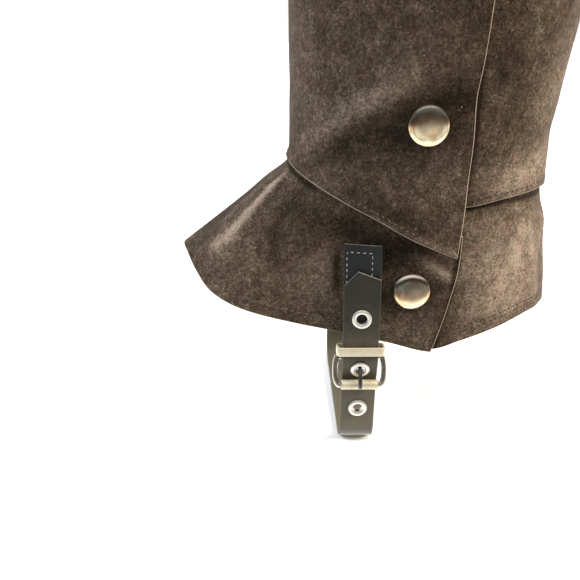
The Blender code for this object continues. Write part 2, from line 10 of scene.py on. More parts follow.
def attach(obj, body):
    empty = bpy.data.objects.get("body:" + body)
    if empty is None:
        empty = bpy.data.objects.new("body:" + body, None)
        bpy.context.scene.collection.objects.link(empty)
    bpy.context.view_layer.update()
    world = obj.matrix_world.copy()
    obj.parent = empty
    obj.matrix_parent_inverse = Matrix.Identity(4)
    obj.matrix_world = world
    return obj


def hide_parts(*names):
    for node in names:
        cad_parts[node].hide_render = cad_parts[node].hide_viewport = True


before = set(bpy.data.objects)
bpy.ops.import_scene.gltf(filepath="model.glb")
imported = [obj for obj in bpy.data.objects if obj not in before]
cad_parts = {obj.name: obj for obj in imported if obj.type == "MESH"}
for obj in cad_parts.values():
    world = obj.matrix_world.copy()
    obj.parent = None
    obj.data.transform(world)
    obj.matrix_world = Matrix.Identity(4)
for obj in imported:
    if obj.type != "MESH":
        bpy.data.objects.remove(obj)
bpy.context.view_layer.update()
print("frame loaded:", len(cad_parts), "nodes")

# The camera was fitted to the photograph. Tilt and turn are in degrees.
view = {
    "place": (-0.0666, -0.3292, 0.0632),
    "tilt": 68.6,
    "turn": -0.6,
    "lens": 40.34,
    "sensor": 36.0,
    "nearest": 0.01,
}

stage = {
    "floorHeight": -0.1299,
    "floorSize": 40.0,
    "floorColour": (0.95, 0.95, 0.95, 1.0),
    # Studio light by direction: where it starts and ends to change, and its strength at both
    "frontLight": 0.10,
    "backLight": (-0.45, 0.55, 0.0, 0.70),
    "topLight": (0.25, 0.95, 0.0, 0.60),
    "lowLight": (-0.25, -0.80, 0.0, 1.15),
    # Bright and dark patches of the room that metal mirrors, and the directions that have them
    "patchScale": 3.2,
    "patchLight": (0.42, 0.60, 0.35, 0.85),
    "patchHeights": (0.16, -0.06, 0.0, 1.0),
}

lamps = {
    # Kind, place, aim, size, strength, colour
    "skyLamp": ("SUN", (0.45, -0.14, 1.00), (0.0, 0.0, 0.0), 0.50, 2.7, (1.0, 0.97, 0.93)),
    "heelLamp": ("AREA", (0.95, -0.34, 0.52), (0.03, 0.0, -0.03), 0.40, 19.0, (1.0, 0.89, 0.74)),
    "toeLamp": ("AREA", (-0.90, -0.22, 0.55), (-0.02, 0.0, 0.0), 0.40, 10.5, (0.90, 0.95, 1.0)),
}


def linkData(name, data):
    made = bpy.data.objects.new(name, data)
    bpy.context.scene.collection.objects.link(made)
    return made


def linkMesh(name, mesh, *materials):
    data = bpy.data.meshes.new(name)
    mesh.to_mesh(data)
    mesh.free()
    for material in materials:
        data.materials.append(material)
    return linkData(name, data)


def addCamera():
    data = bpy.data.cameras.new("photoCamera")
    data.lens = view["lens"]
    data.sensor_width = view["sensor"]
    data.clip_start = view["nearest"]
    camera = linkData("photoCamera", data)
    camera.location = view["place"]
    camera.rotation_euler = (radians(view["tilt"]), 0.0, radians(view["turn"]))
    bpy.context.scene.camera = camera


def addLamp(name, kind, place, aim, size, strength, colour):
    # The size is across a lamp in metres, or the sun's width in radians
    data = bpy.data.lights.new(name, kind)
    if kind == "AREA":
        data.shape = "DISK"
        data.size = size
    else:
        data.angle = size
    data.energy = strength
    data.color = colour
    lamp = linkData(name, data)
    lamp.location = place
    lamp.rotation_euler = (Vector(aim) - Vector(place)).to_track_quat("-Z", "Y").to_euler()
    lamp.visible_camera = False
    lamp.visible_glossy = False  # metal mirrors only the sky


def operator(operation, swapped=False):
    def apply(self, other):
        return self.sum(operation, *((other, self) if swapped else (self, other)))

    return apply


class Wire:
    # A shader socket that can stand in a Python sum

    def __init__(self, tree, socket):
        self.tree = tree
        self.socket = socket

    def sum(self, operation, first, second):
        node = self.tree.nodes.new("ShaderNodeMath")
        node.operation = operation
        for slot, item in enumerate((first, second)):
            if isinstance(item, Wire):
                self.tree.links.new(item.socket, node.inputs[slot])
            else:
                node.inputs[slot].default_value = item
        return Wire(self.tree, node.outputs[0])

    __add__ = __radd__ = operator("ADD")
    __mul__ = __rmul__ = operator("MULTIPLY")
    __sub__ = operator("SUBTRACT")
    __rsub__ = operator("SUBTRACT", swapped=True)
    __gt__ = operator("GREATER_THAN")
    __lt__ = operator("LESS_THAN")


class Nodes:
    # Adds nodes to one tree. A value named at3 goes to the fourth input.

    def __init__(self, tree):
        self.tree = tree

    def node(self, kind, settings=None, output=0, **values):
        made = self.tree.nodes.new(kind)
        for label, value in (settings or {}).items():
            setattr(made, label, value)
        for label, value in values.items():
            socket = made.inputs[int(label[2:])] if label.startswith("at") else made.inputs[label]
            if isinstance(value, Wire):
                self.tree.links.new(value.socket, socket)
            else:
                socket.default_value = value
        return Wire(self.tree, made.outputs[output])

    def noise(self, place, scale, detail=2.0, roughness=0.5, distortion=0.0):
        return self.node("ShaderNodeTexNoise", Vector=place, Scale=scale, Detail=detail,
                         Roughness=roughness, Distortion=distortion)

    def part(self, vector, axis):
        return self.node("ShaderNodeSeparateXYZ", output=axis, Vector=vector)

    def spread(self, value, start, end, low, high, curve="LINEAR"):
        # Goes from low at the start to high at the end, and stays there beyond them
        return self.node("ShaderNodeMapRange", {"clamp": True, "interpolation_type": curve},
                         Value=value, at1=start, at2=end, at3=low, at4=high)

    def ramp(self, value, *stops):
        coloured = self.node("ShaderNodeValToRGB", Fac=value)
        elements = coloured.socket.node.color_ramp.elements
        while len(elements) < len(stops):
            elements.new(0.5)
        for element, (place, colour) in zip(elements, stops):
            element.position = place
            element.color = (*colour, 1.0)
        return coloured

    def mix(self, mask, first, second, blend="MIX"):
        return self.node("ShaderNodeMix", {"data_type": "RGBA", "blend_type": blend},
                         output=2, at0=mask, at6=first, at7=second)


class Finish(Nodes):
    # One material and the nodes that feed its shader

    def __init__(self, name, fixed):
        self.material = bpy.data.materials.new(name)
        self.material.use_nodes = True
        super().__init__(self.material.node_tree)
        self.shader = self.tree.nodes["Principled BSDF"]
        for label, value in fixed.items():
            self.shader.inputs[label].default_value = value

    def place(self):
        return self.node("ShaderNodeTexCoord", output=3)

    def feed(self, label, wire):
        self.tree.links.new(wire.socket, self.shader.inputs[label])

    def bump(self, height, distance, strength):
        relief = self.node("ShaderNodeBump", Height=height, Distance=distance, Strength=strength)
        self.feed("Normal", relief)

    def grain(self, rows):
        # Noises about zero, and their sums for tone, height and roughness. A row has a noise's
        # scale, detail, roughness and distortion, then its share in each sum.
        place = self.place()
        noises = [self.noise(place, *row[:4]) - 0.5 for row in rows]
        sums = [sum(noise * share for noise, share in zip(noises, shares) if share)
                for shares in zip(*(row[4:] for row in rows))]
        return noises, *sums


def grainFinish(name, look, colours, roughness=None, scuff=1.0, metallic=0.0):
    # A material whose tone, relief and, where one is given, roughness follow its noises
    finish = Finish(name, {**look["shader"], "Metallic": metallic})
    _, tone, height, rough = finish.grain(look["grain"])
    finish.feed("Base Color", finish.ramp(tone + 0.5, *zip(look["stops"], colours)))
    if roughness is not None:
        finish.feed("Roughness", rough * scuff + roughness)
    finish.bump(height, *look["bump"])
    return finish.material


suedeLook = {
    "shader": {
        "Roughness": 0.95, "Sheen Weight": 0.16, "Sheen Roughness": 0.40,
        "Sheen Tint": (0.95, 0.84, 0.74, 1.0), "Specular IOR Level": 0.10,
    },
    # Patches, mottle, nap and fibres
    "grain": (
        (1.0 / 0.016, 3.0, 0.55, 0.8, 0.40, 0.0), (1.0 / 0.0042, 3.0, 0.60, 0.4, 0.56, 0.4),
        (1.0 / 0.0013, 2.0, 0.60, 0.0, 0.80, 0.7), (1.0 / 0.00045, 2.0, 0.60, 0.0, 0.95, 0.5),
    ),
    "base": 0.355,
    "napAndShade": 0.22,
    "tones": (
        (0.05, (0.016, 0.012, 0.008)), (0.38, (0.062, 0.045, 0.031)),
        (0.62, (0.136, 0.104, 0.078)), (1.0, (0.370, 0.295, 0.230)),
    ),
    "hueNoise": (1.0 / 0.0055, 2.0, 0.6, 0.5),
    "hues": ((0.36, (0.90, 0.93, 0.88)), (0.64, (1.00, 0.90, 0.90))),
    # Pale specks of lint: scale, radius as a share of it, strength, colour
    "specks": (170.0, 0.045, 0.6, (0.50, 0.48, 0.44, 1.0)),
    # Darkening of the pressed grooves, part pressed nap and part painted shade: strength, colour
    "groove": (0.50, (0.016, 0.012, 0.008, 1.0)),
    "paleEdge": (0.75, (0.360, 0.285, 0.220, 1.0)),
    "fray": 1.2,
    "bump": (0.0004, 0.8),
}


def suedeFinish(name, grooves=(), paleEdges=(), lighter=0.0):
    # Grooves pressed in by sewing, darkened by the pressed nap and by painted shade in them: axis 0
    # from the free edge or 1 from the lower edge, distance, half width, depth. Pale edges: axis, width.
    finish = Finish(name, suedeLook["shader"])
    (_, _, nap, _), tone, height = finish.grain(suedeLook["grain"])
    place = finish.place()
    # Nap tone from each vertex, with the painted shade and highlights it carries
    napAndShade = finish.node("ShaderNodeAttribute", {"attribute_name": "napAndShadeTone"}, output=2)
    level = tone + napAndShade * suedeLook["napAndShade"] + (suedeLook["base"] + lighter)
    hue = finish.ramp(finish.noise(place, *suedeLook["hueNoise"]), *suedeLook["hues"])
    colour = finish.mix(1.0, finish.ramp(level, *suedeLook["tones"]), hue, "MULTIPLY")
    scale, radius, strength, lint = suedeLook["specks"]
    specks = finish.node("ShaderNodeTexVoronoi", {"feature": "F1"}, Vector=place, Scale=scale)
    colour = finish.mix((specks < radius) * strength, colour, lint)
    if grooves or paleEdges:
        edgePlace = finish.node("ShaderNodeUVMap", {"uv_map": "edgePlace"})
        axes = [finish.part(edgePlace, axis) for axis in (0, 1)]
    strength, dark = suedeLook["groove"]
    for axis, distance, width, depth in grooves:
        away = (axes[axis] - distance) * (1.0 / width)
        pressed = 1.0 - away * away
        pressed = pressed.sum("MAXIMUM", pressed, 0.0)
        height = height - pressed * depth
        # The groove is darkened by painted shade as well as by the pressed nap
        colour = finish.mix(pressed * strength, colour, dark)
    strength, pale = suedeLook["paleEdge"]
    for axis, width in paleEdges:
        frayed = axes[axis] + nap * (width * suedeLook["fray"])
        colour = finish.mix((frayed < width) * strength, colour, pale)
    finish.feed("Base Color", colour)
    finish.bump(height, *suedeLook["bump"])
    return finish.material


rawEdgeLook = {
    "shader": {"Roughness": 0.95, "Sheen Weight": 0.2, "Specular IOR Level": 0.1},
    "grain": ((1500.0, 3.0, 0.7, 0.0, 0.6, 1.0, 0.0), (160.0, 2.0, 0.5, 0.0, 0.4, 0.0, 0.0)),
    "stops": (0.30, 0.55, 0.80),
    "colours": ((0.20, 0.145, 0.105), (0.360, 0.285, 0.220), (0.52, 0.44, 0.36)),
    "bump": (0.0003, 0.8),
}

threadLook = {
    "shader": {"Roughness": 0.6},
    "grain": ((2200.0, 2.0, 0.5, 0.0, 1.0, 1.0, 0.0),),
    "stops": (0.3, 0.65),
    "shade": 0.55,
    "bump": (0.0001, 1.0),
    "colours": {
        "darkThread": (0.026, 0.019, 0.013),
        "paleThread": (0.125, 0.104, 0.084),
        "whiteThread": (0.38, 0.39, 0.37),
    },
}


def threadFinish(name):
    colour = threadLook["colours"][name]
    shaded = tuple(part * threadLook["shade"] for part in colour)
    return grainFinish(name, threadLook, (shaded, colour))


leatherLook = {
    "shader": {"Specular IOR Level": 0.5},
    "grain": ((110.0, 3.0, 0.55, 0.0, 0.50, 0.0, 0.22), (900.0, 3.0, 0.60, 0.0, 0.25, 0.5, 0.12)),
    "pebbleScale": 1300.0,
    "pebbleHeight": 0.5,
    "paintedSheenShare": 0.75,
    "stops": (0.05, 0.85),
    "bump": (0.00010, 0.45),
    # Dark tone, painted sheen tone, roughness, and the heights between which the painted sheen comes up
    "strapLeather": ((0.014, 0.0125, 0.0065), (0.165, 0.142, 0.092), 0.47, (-0.046, -0.112)),
    "baseLeather": ((0.004, 0.0055, 0.006), (0.008, 0.0095, 0.0095), 0.50, (-0.050, -0.105)),
}

leatherEdgeLook = {
    "shader": {"Roughness": 0.8},
    "grain": ((1200.0, 3.0, 0.7, 0.0, 1.0, 1.0, 0.0),),
    "stops": (0.3, 0.7),
    "colours": ((0.050, 0.046, 0.038), (0.200, 0.185, 0.150)),
    "bump": (0.00025, 1.0),
}


def leatherFinish(name):
    # Smooth leather with a fine pebbled grain and a painted sheen that grows lower down
    dark, sheenTone, roughness, heights = leatherLook[name]
    finish = Finish(name, leatherLook["shader"])
    _, tone, height, rough = finish.grain(leatherLook["grain"])
    place = finish.place()
    pebbles = finish.node("ShaderNodeTexVoronoi", {"feature": "DISTANCE_TO_EDGE"}, Vector=place,
                          Scale=leatherLook["pebbleScale"])
    # Painted sheen: lighter towards the bottom of the strap
    along = finish.spread(finish.part(place, 2), *heights, 0.0, 1.0)
    level = along * leatherLook["paintedSheenShare"] + tone
    finish.feed("Base Color", finish.ramp(level, *zip(leatherLook["stops"], (dark, sheenTone))))
    finish.feed("Roughness", rough + roughness)
    finish.bump(pebbles * leatherLook["pebbleHeight"] + height, *leatherLook["bump"])
    return finish.material


capPaintedReflectionLook = {
    # Tones of a painted reflection, from the cap's lower rim over its crown to its upper rim
    "tones": (
        (0.30, (0.98, 0.84, 0.58)), (0.475, (0.90, 0.74, 0.47)), (0.515, (0.46, 0.33, 0.21)),
        (0.560, (0.20, 0.18, 0.14)), (0.72, (0.16, 0.15, 0.12)), (0.84, (0.95, 0.92, 0.84)),
    ),
    "shader": {"Metallic": 0.90, "Roughness": 0.16},
    "upShare": 0.5,
    "sideShare": -0.07,
    # Shift of the painted reflection's tones between two heights
    "lean": (-0.046, 0.028, 0.022, -0.075),
    "cloud": (190.0, 1.0, 0.5),
    "cloudShare": 0.06,
    # Where the cloud is thick the tone is redder: from, strength, colour
    "russet": (0.54, 0.7, (1.0, 0.80, 0.68, 1.0)),
}


def capPaintedReflectionFinish():
    # Polished metal with a painted reflection: pale where it faces down and dark where it faces up
    finish = Finish("gunmetal", capPaintedReflectionLook["shader"])
    facing = finish.node("ShaderNodeTexCoord", output=1)
    place = finish.place()
    cloud = finish.noise(place, *capPaintedReflectionLook["cloud"])
    lean = finish.spread(finish.part(place, 2), *capPaintedReflectionLook["lean"])
    level = (finish.part(facing, 2) * capPaintedReflectionLook["upShare"] + finish.part(facing, 0) * capPaintedReflectionLook["sideShare"]
             + lean + 0.5 + (cloud - 0.5) * capPaintedReflectionLook["cloudShare"])
    start, strength, russet = capPaintedReflectionLook["russet"]
    colour = finish.ramp(level, *capPaintedReflectionLook["tones"])
    colour = finish.mix((cloud > start) * strength, colour, russet, "MULTIPLY")
    finish.feed("Base Color", colour)
    return finish.material


metalLook = {
    "shader": {},
    # Cloud and scratches
    "grain": ((220.0, 3.0, 0.6, 0.0, 0.7, 0.6, 1.0), (1700.0, 3.0, 0.7, 1.2, 0.3, 0.4, 1.0)),
    "stops": (0.3, 0.7),
    "bump": (0.00003, 0.30),
    # Dark and bright tone, roughness, how much it varies, how metallic
    "warmSilver": (((0.52, 0.46, 0.38), (0.74, 0.68, 0.58)), 0.26, 0.12, 1.0),
    "creamSilver": (((0.66, 0.57, 0.40), (0.80, 0.71, 0.53)), 0.34, 0.08, 0.55),
    # A darker copy of the silver, painted shade for the prong
    "shadedProngSilver": (((0.09, 0.085, 0.075), (0.22, 0.21, 0.19)), 0.36, 0.10, 1.0),
    "brightNickel": (((0.80, 0.77, 0.68), (0.92, 0.90, 0.82)), 0.30, 0.08, 0.80),
}


def metalFinish(name):
    return grainFinish(name, metalLook, *metalLook[name])


# How finely things are made
fineness = {
    # Degrees from which an edge is rounded, and from which metal is shaded sharp
    "roundFrom": 60.0,
    "sharpFrom": 42.0,
    # Sides of round things
    "holeSides": 40,
    "rodSides": 16,
    "capSides": 72,
    "backSides": 40,
    "ringSides": 48,
    # Points along the arm and the prong of the buckle, over an eyelet's roll and round a disc
    "armPoints": 28,
    "prongPoints": 30,
    "rollSteps": 12,
    "rimPoints": 12,
    # Steps round the keeper's corners and rims
    "cornerSteps": 8,
    "rimSteps": 3,
}

# Form of the worn cover, in metres. Angles go round the leg in degrees: 0 at the instep,
# 90 at the closure, 180 at the heel. A rise is measured up from the bend at the ankle.
form = {
    "suedeWall": 0.0014,
    "layerStep": 0.0018,
    "lapEase": 0.0004,
    "seamLap": 0.010,
    "topHeight": 0.205,
    "bendReach": 0.009,
    "ringPower": 2.3,
    "girthPerDegree": 0.00095,
    # Steps by which slopes are measured, in degrees and metres
    "probe": (0.5, 0.0005),
    # Search for a point: half width and rise above its z to start from, rounds
    "guess": (0.050, 0.003),
    "rounds": 8,
    # Shares of a fold's length over which it begins and ends
    "foldEnds": ((-0.3, 0.35), (0.65, 1.3)),
    # Angles over which the closure rises to its upper layer, heights over which the lap fades
    "closureRise": (45.0, 66.0),
    "lapFade": (0.014, 0.046),
    # Extra lift at the closure's free corners: distance, angles, rises
    "footCorner": (0.0022, (74.0, 100.0), (-0.076, -0.040)),
    "shaftCorner": (0.0042, (44.0, 84.0), (-0.030, 0.012)),
    # Height, toe reach, heel reach, half width
    "rings": (
        (-0.010, 0.0615, 0.0594, 0.0478), (0.004, 0.0598, 0.0586, 0.0476), (0.018, 0.0598, 0.0592, 0.0480),
        (0.034, 0.0614, 0.0619, 0.0490), (0.051, 0.0622, 0.0641, 0.0502), (0.090, 0.0628, 0.0692, 0.0528),
        (0.140, 0.0645, 0.0755, 0.0562), (0.205, 0.0670, 0.0825, 0.0600),
    ),
    # Angle, bend height, then the hem's x, y and z
    "ribs": (
        (0, 0.0060, -0.1182, 0.0000, -0.0390), (9, 0.0056, -0.1148, 0.0125, -0.0408),
        (18, 0.0046, -0.1092, 0.0258, -0.0458), (27, 0.0032, -0.1010, 0.0375, -0.0522),
        (36, 0.0016, -0.0870, 0.0450, -0.0575), (48, -0.0008, -0.0635, 0.0476, -0.0632),
        (60, -0.0026, -0.0410, 0.0485, -0.0672), (75, -0.0040, -0.0185, 0.0495, -0.0720),
        (90, -0.0044, 0.0026, 0.0500, -0.0765), (105, -0.0044, 0.0170, 0.0488, -0.0728),
        (120, -0.0041, 0.0338, 0.0440, -0.0686), (135, -0.0039, 0.0482, 0.0350, -0.0662),
        (150, -0.0037, 0.0598, 0.0240, -0.0655), (165, -0.0036, 0.0682, 0.0120, -0.0664),
        (180, -0.0036, 0.0712, 0.0000, -0.0682),
    ),
    # Soft folds: from angle and rise, to angle and rise, half width, height
    "folds": (
        (10, 0.010, 84, 0.062, 0.0090, 0.0018),
        (28, 0.011, 100, 0.046, 0.0100, -0.0026),
        (10, -0.012, 15, -0.060, 0.0060, 0.0020),
        (22, -0.012, 36, -0.052, 0.0075, -0.0022),
        (118, -0.018, 242, -0.018, 0.0080, 0.0014),
        (140, -0.020, 150, -0.062, 0.0060, 0.0014),
        (162, -0.018, 170, -0.060, 0.0065, 0.0012),
        (-20, 0.010, -80, 0.055, 0.0090, -0.0016),
        (-60, 0.020, -130, 0.065, 0.0090, 0.0014),
        (-8, -0.014, -30, -0.056, 0.0075, 0.0014),
        (-140, -0.018, -150, -0.060, 0.0065, 0.0014),
        (150, 0.020, 200, 0.050, 0.0090, -0.0013),
        (-40, 0.110, 40, 0.125, 0.0120, -0.0016),
        (60, 0.100, 140, 0.125, 0.0120, 0.0014),
    ),
    # Finer creases of the worn suede, in the same columns
    "creases": (
        (13, -0.010, 16, -0.030, 0.0016, 0.0007),
        (16, -0.030, 18, -0.047, 0.0020, 0.0007),
        (18, -0.047, 17.5, -0.062, 0.0034, 0.0006),
        (27, -0.010, 31, -0.036, 0.0028, -0.0006),
        (128, -0.022, 134, -0.040, 0.0032, 0.0005),
        (138, -0.026, 143, -0.046, 0.0030, -0.0005),
        (152, -0.016, 150, -0.044, 0.0032, 0.0005),
        (34, 0.014, 60, 0.020, 0.0030, 0.0004),
        (16, 0.018, 30, 0.030, 0.0030, 0.0004),
        (-12, -0.016, -20, -0.050, 0.0024, 0.0007),
        (-24, -0.014, -38, -0.044, 0.0030, -0.0006),
        (-36, 0.014, -60, 0.022, 0.0030, 0.0004),
        (-120, -0.020, -128, -0.044, 0.0032, 0.0005),
        (-150, -0.020, -154, -0.048, 0.0032, -0.0005),
        (112, 0.060, 150, 0.074, 0.0050, 0.0005),
        (20, 0.070, 70, 0.088, 0.0050, -0.0006),
        (-70, 0.080, -20, 0.092, 0.0050, 0.0005),
        (40, 0.150, 100, 0.160, 0.0060, 0.0006),
        (-140, 0.140, -80, 0.152, 0.0060, -0.0006),
    ),
}

# Where the nap lies lighter or darker, most of it painted light: painted shade in fold hollows and
# valleys, painted shadows under the flap, under the lap edges and beside the free edges, painted
# highlights on crease crests and along the rolled lap edge, and painted light on the sides the lamps
# reach, such as the heel side; the rest is the nap's own patches. Columns: from angle and rise, to
# angle and rise, half width, tone
napAndShadeTones = {
    "shaft": (
        # These two lines: painted shade in the hollow under the fold, then painted highlight on its ridge
        (34, 0.013, 66, 0.027, 0.0080, -1.0), (66, 0.027, 100, 0.040, 0.0130, -1.4),
        (20, 0.010, 48, 0.034, 0.0060, 1.4), (48, 0.034, 80, 0.055, 0.0050, 1.6),
        (46, -0.004, 92, -0.013, 0.0080, -0.9), (84, 0.012, 99, 0.008, 0.0060, 0.5),
        (112, 0.004, 160, 0.016, 0.0100, 1.5), (92, 0.050, 105, 0.040, 0.0080, -0.8),
        (112, 0.030, 130, 0.040, 0.0100, -0.3), (116, 0.050, 126, 0.060, 0.0090, -0.8),
        # This line starts with a painted shadow just past the closure edge
        (106.4, 0.004, 107, 0.060, 0.0014, -2.2), (140, 0.030, 156, 0.060, 0.0090, 0.6),
        # Painted highlight along the rolled lower edge of the front shaft
        (50, -0.0060, 84, -0.0178, 0.0018, 1.1), (84, -0.0178, 103, -0.0246, 0.0018, 1.3),
        (10, 0.030, 30, 0.060, 0.0110, 0.4), (80, 0.085, 120, 0.070, 0.0120, -0.5),
        (-34, 0.013, -90, 0.046, 0.0110, -0.9), (-20, 0.020, -70, 0.060, 0.0080, 0.5),
        (-150, 0.006, -110, 0.020, 0.0110, 0.4), (200, 0.030, 240, 0.050, 0.0110, -0.4),
        (-30, 0.110, 30, 0.120, 0.0140, -0.6), (60, 0.112, 130, 0.130, 0.0120, 0.5),
        (20, 0.160, 90, 0.178, 0.0140, -0.4), (140, 0.150, 220, 0.165, 0.0150, 0.4),
        (-120, 0.090, -60, 0.105, 0.0130, 0.4), (-110, 0.165, -40, 0.150, 0.0140, -0.4),
    ),
    "foot": (
        # Painted highlight on the crest of the crease, then painted shade in the valley beside it
        (13, -0.008, 16, -0.030, 0.0012, 3.0), (16, -0.030, 18, -0.047, 0.0017, 2.6),
        (18, -0.046, 17.5, -0.062, 0.0034, 1.9), (8, -0.016, 10, -0.050, 0.0024, 0.7),
        (3, -0.020, 6, -0.060, 0.0060, -0.8), (28, -0.008, 30, -0.030, 0.0042, -1.3),
        (30, -0.030, 37, -0.047, 0.0048, -1.0),
        # Painted shadow under the flap, then a painted highlight on the crease below it
        (40, -0.016, 92, -0.026, 0.0070, -1.6), (96, -0.018, 103, -0.020, 0.0040, -1.0),
        (64, -0.034, 98, -0.044, 0.0100, -0.7), (81, -0.0250, 100, -0.0365, 0.0032, 1.8),
        (44, -0.034, 52, -0.054, 0.0080, 0.40), (53, -0.030, 56.5, -0.047, 0.0009, -2.0),
        (60, -0.056, 92, -0.070, 0.0090, 0.7), (138, -0.016, 124, -0.050, 0.0035, 0.7),
        (142, -0.014, 150, -0.060, 0.0070, 0.7), (130, -0.034, 127, -0.052, 0.0022, -0.6),
        (128, -0.010, 124, -0.064, 0.0200, 1.7), (108, -0.012, 116, -0.030, 0.0070, 0.2),
        # Painted shadows beside the free edge of the front foot
        (103.6, -0.020, 99, -0.048, 0.0014, -2.2), (98, -0.048, 91, -0.074, 0.0014, -2.0),
        (160, -0.016, 172, -0.058, 0.0090, 1.0), (-10, -0.014, -16, -0.060, 0.0040, 0.9),
        (-22, -0.012, -34, -0.048, 0.0060, -0.9), (-50, -0.018, -92, -0.026, 0.0070, -0.7),
        (-120, -0.014, -130, -0.060, 0.0080, 0.6), (-150, -0.014, -158, -0.060, 0.0080, -0.4),
        # Painted shadow lines just under the lower edges of the shaft panels
        (-60, -0.0040, 0, -0.0026, 0.0012, -2.2), (0, -0.0026, 40, -0.0068, 0.0012, -2.2),
        (100, -0.0046, 125, -0.0024, 0.0012, -2.4), (125, -0.0024, 180, -0.0018, 0.0012, -2.4),
        (180, -0.0018, 262, -0.0042, 0.0012, -2.4),
    ),
}


def smooth(value, start, end):
    part = np.clip((value - start) / (end - start), 0.0, 1.0)
    return part * part * (3.0 - 2.0 * part)


def readTable(rows, key):
    # Smooth values between the rows, with slopes taken from the neighbouring rows
    table = np.array(rows, float)
    key = np.asarray(key, float)
    index = np.clip(np.searchsorted(table[:, 0], key) - 1, 0, len(table) - 2)
    low, high = table[index], table[index + 1]
    below = table[np.maximum(index - 1, 0)]
    above = table[np.minimum(index + 2, len(table) - 1)]
    span = high[..., :1] - low[..., :1]
    part = np.clip((key[..., None] - low[..., :1]) / span, 0.0, 1.0)
    slopeLow = (high - below) / (high[..., :1] - below[..., :1]) * span
    slopeHigh = (above - low) / (above[..., :1] - low[..., :1]) * span
    curve = slopeLow + slopeHigh - 2.0 * (high - low)
    bend = high - low - slopeLow - curve
    values = low + part * (slopeLow + part * (bend + part * curve))
    return [values[..., column] for column in range(1, table.shape[1])]


def closedRibs():
    rows = []
    for turn in (-360, 0, 360):
        for angle, bend, x, y, z in form["ribs"]:
            rows.append((turn + angle, bend, x, y, z))
            if 0 < angle < 180:
                rows.append((turn - angle, bend, x, -y, z))
    return sorted(rows)


allRibs = closedRibs()


def ringPoint(angle, height):
    toeReach, heelReach, halfWidth = readTable(form["rings"], height)
    across = np.cos(np.radians(angle))
    aside = np.sin(np.radians(angle))
    reach = np.where(across > 0.0, toeReach, heelReach)
    power = form["ringPower"]
    total = (np.abs(across) / reach) ** power + (np.abs(aside) / halfWidth) ** power
    radius = total ** (-1.0 / power)
    return np.stack([-radius * across, -radius * aside, height + 0.0 * angle], axis=-1)


def plainPoint(angle, rise):
    bend, x, y, z = readTable(allRibs, angle)
    reach = form["bendReach"]
    corner = ringPoint(angle, bend)
    down = np.stack([x, -y, z], axis=-1) - corner
    down = down / np.linalg.norm(down, axis=-1, keepdims=True)
    risen = np.asarray(rise)[..., None]
    part = np.clip((risen + reach) / (2.0 * reach), 0.0, 1.0)
    low = corner + down * reach
    high = ringPoint(angle, bend + reach)
    bent = low * (1 - part) ** 2 + corner * 2 * part * (1 - part) + high * part ** 2
    above = ringPoint(angle, bend + np.maximum(rise, reach))
    below = corner - down * np.minimum(risen, -reach)
    return np.where(risen >= reach, above, np.where(risen <= -reach, below, bent))


def normalOf(function, angle, rise):
    turn, step = form["probe"]
    along = function(angle + turn, rise) - function(angle - turn, rise)
    upward = function(angle, rise + step) - function(angle, rise - step)
    normal = np.cross(along, upward)
    return normal / np.linalg.norm(normal, axis=-1, keepdims=True)


def foldSum(rows, angle, rise):
    # Sum of soft ridges, each a line on the form with its own half width and height
    girth = form["girthPerDegree"]
    begin, end = form["foldEnds"]
    turned = (angle + 180.0) % 360.0 - 180.0
    total = np.zeros_like(turned + rise)
    for angleA, riseA, angleB, riseB, halfWidth, size in rows:
        lineX = (angleB - angleA) * girth
        lineY = riseB - riseA
        length = (lineX ** 2 + lineY ** 2) ** 0.5
        for placeAngle in (turned, turned + 360.0):
            spotX = (placeAngle - angleA) * girth
            spotY = rise - riseA
            along = (spotX * lineX + spotY * lineY) / length ** 2
            away = (spotX * lineY - spotY * lineX) / length / halfWidth
            ends = smooth(along, *begin) * (1.0 - smooth(along, *end))
            total = total + size * ends * np.exp(-away * away)
    return total


allFolds = form["folds"] + form["creases"]


def formPoint(angle, rise):
    lift = foldSum(allFolds, angle, rise)[..., None]
    return plainPoint(angle, rise) + normalOf(plainPoint, angle, rise) * lift


def raisedPoint(angle, rise, distance):
    return formPoint(angle, rise) + normalOf(formPoint, angle, rise) * np.asarray(distance)[..., None]


# How far each panel's inner face stands off the form

def closureLayer(angle):
    return form["layerStep"] * smooth(angle, *form["closureRise"])


def lapLayer(angle, rise):
    height = readTable(allRibs, angle)[0] + rise
    return (form["layerStep"] + form["lapEase"]) * (1.0 - smooth(height, *form["lapFade"]))


def cornerLift(name, angle, rise):
    lift, angles, rises = form[name]
    return lift * smooth(angle, *angles) * (1.0 - smooth(rise, *rises))


def footRearHeight(angle, rise):
    return 0.0 * angle


def footFrontHeight(angle, rise):
    return closureLayer(angle) + cornerLift("footCorner", angle, rise)


def shaftRearHeight(angle, rise):
    return lapLayer(angle, rise)


def shaftFrontHeight(angle, rise):
    return closureLayer(angle) + lapLayer(angle, rise) + cornerLift("shaftCorner", angle, rise)


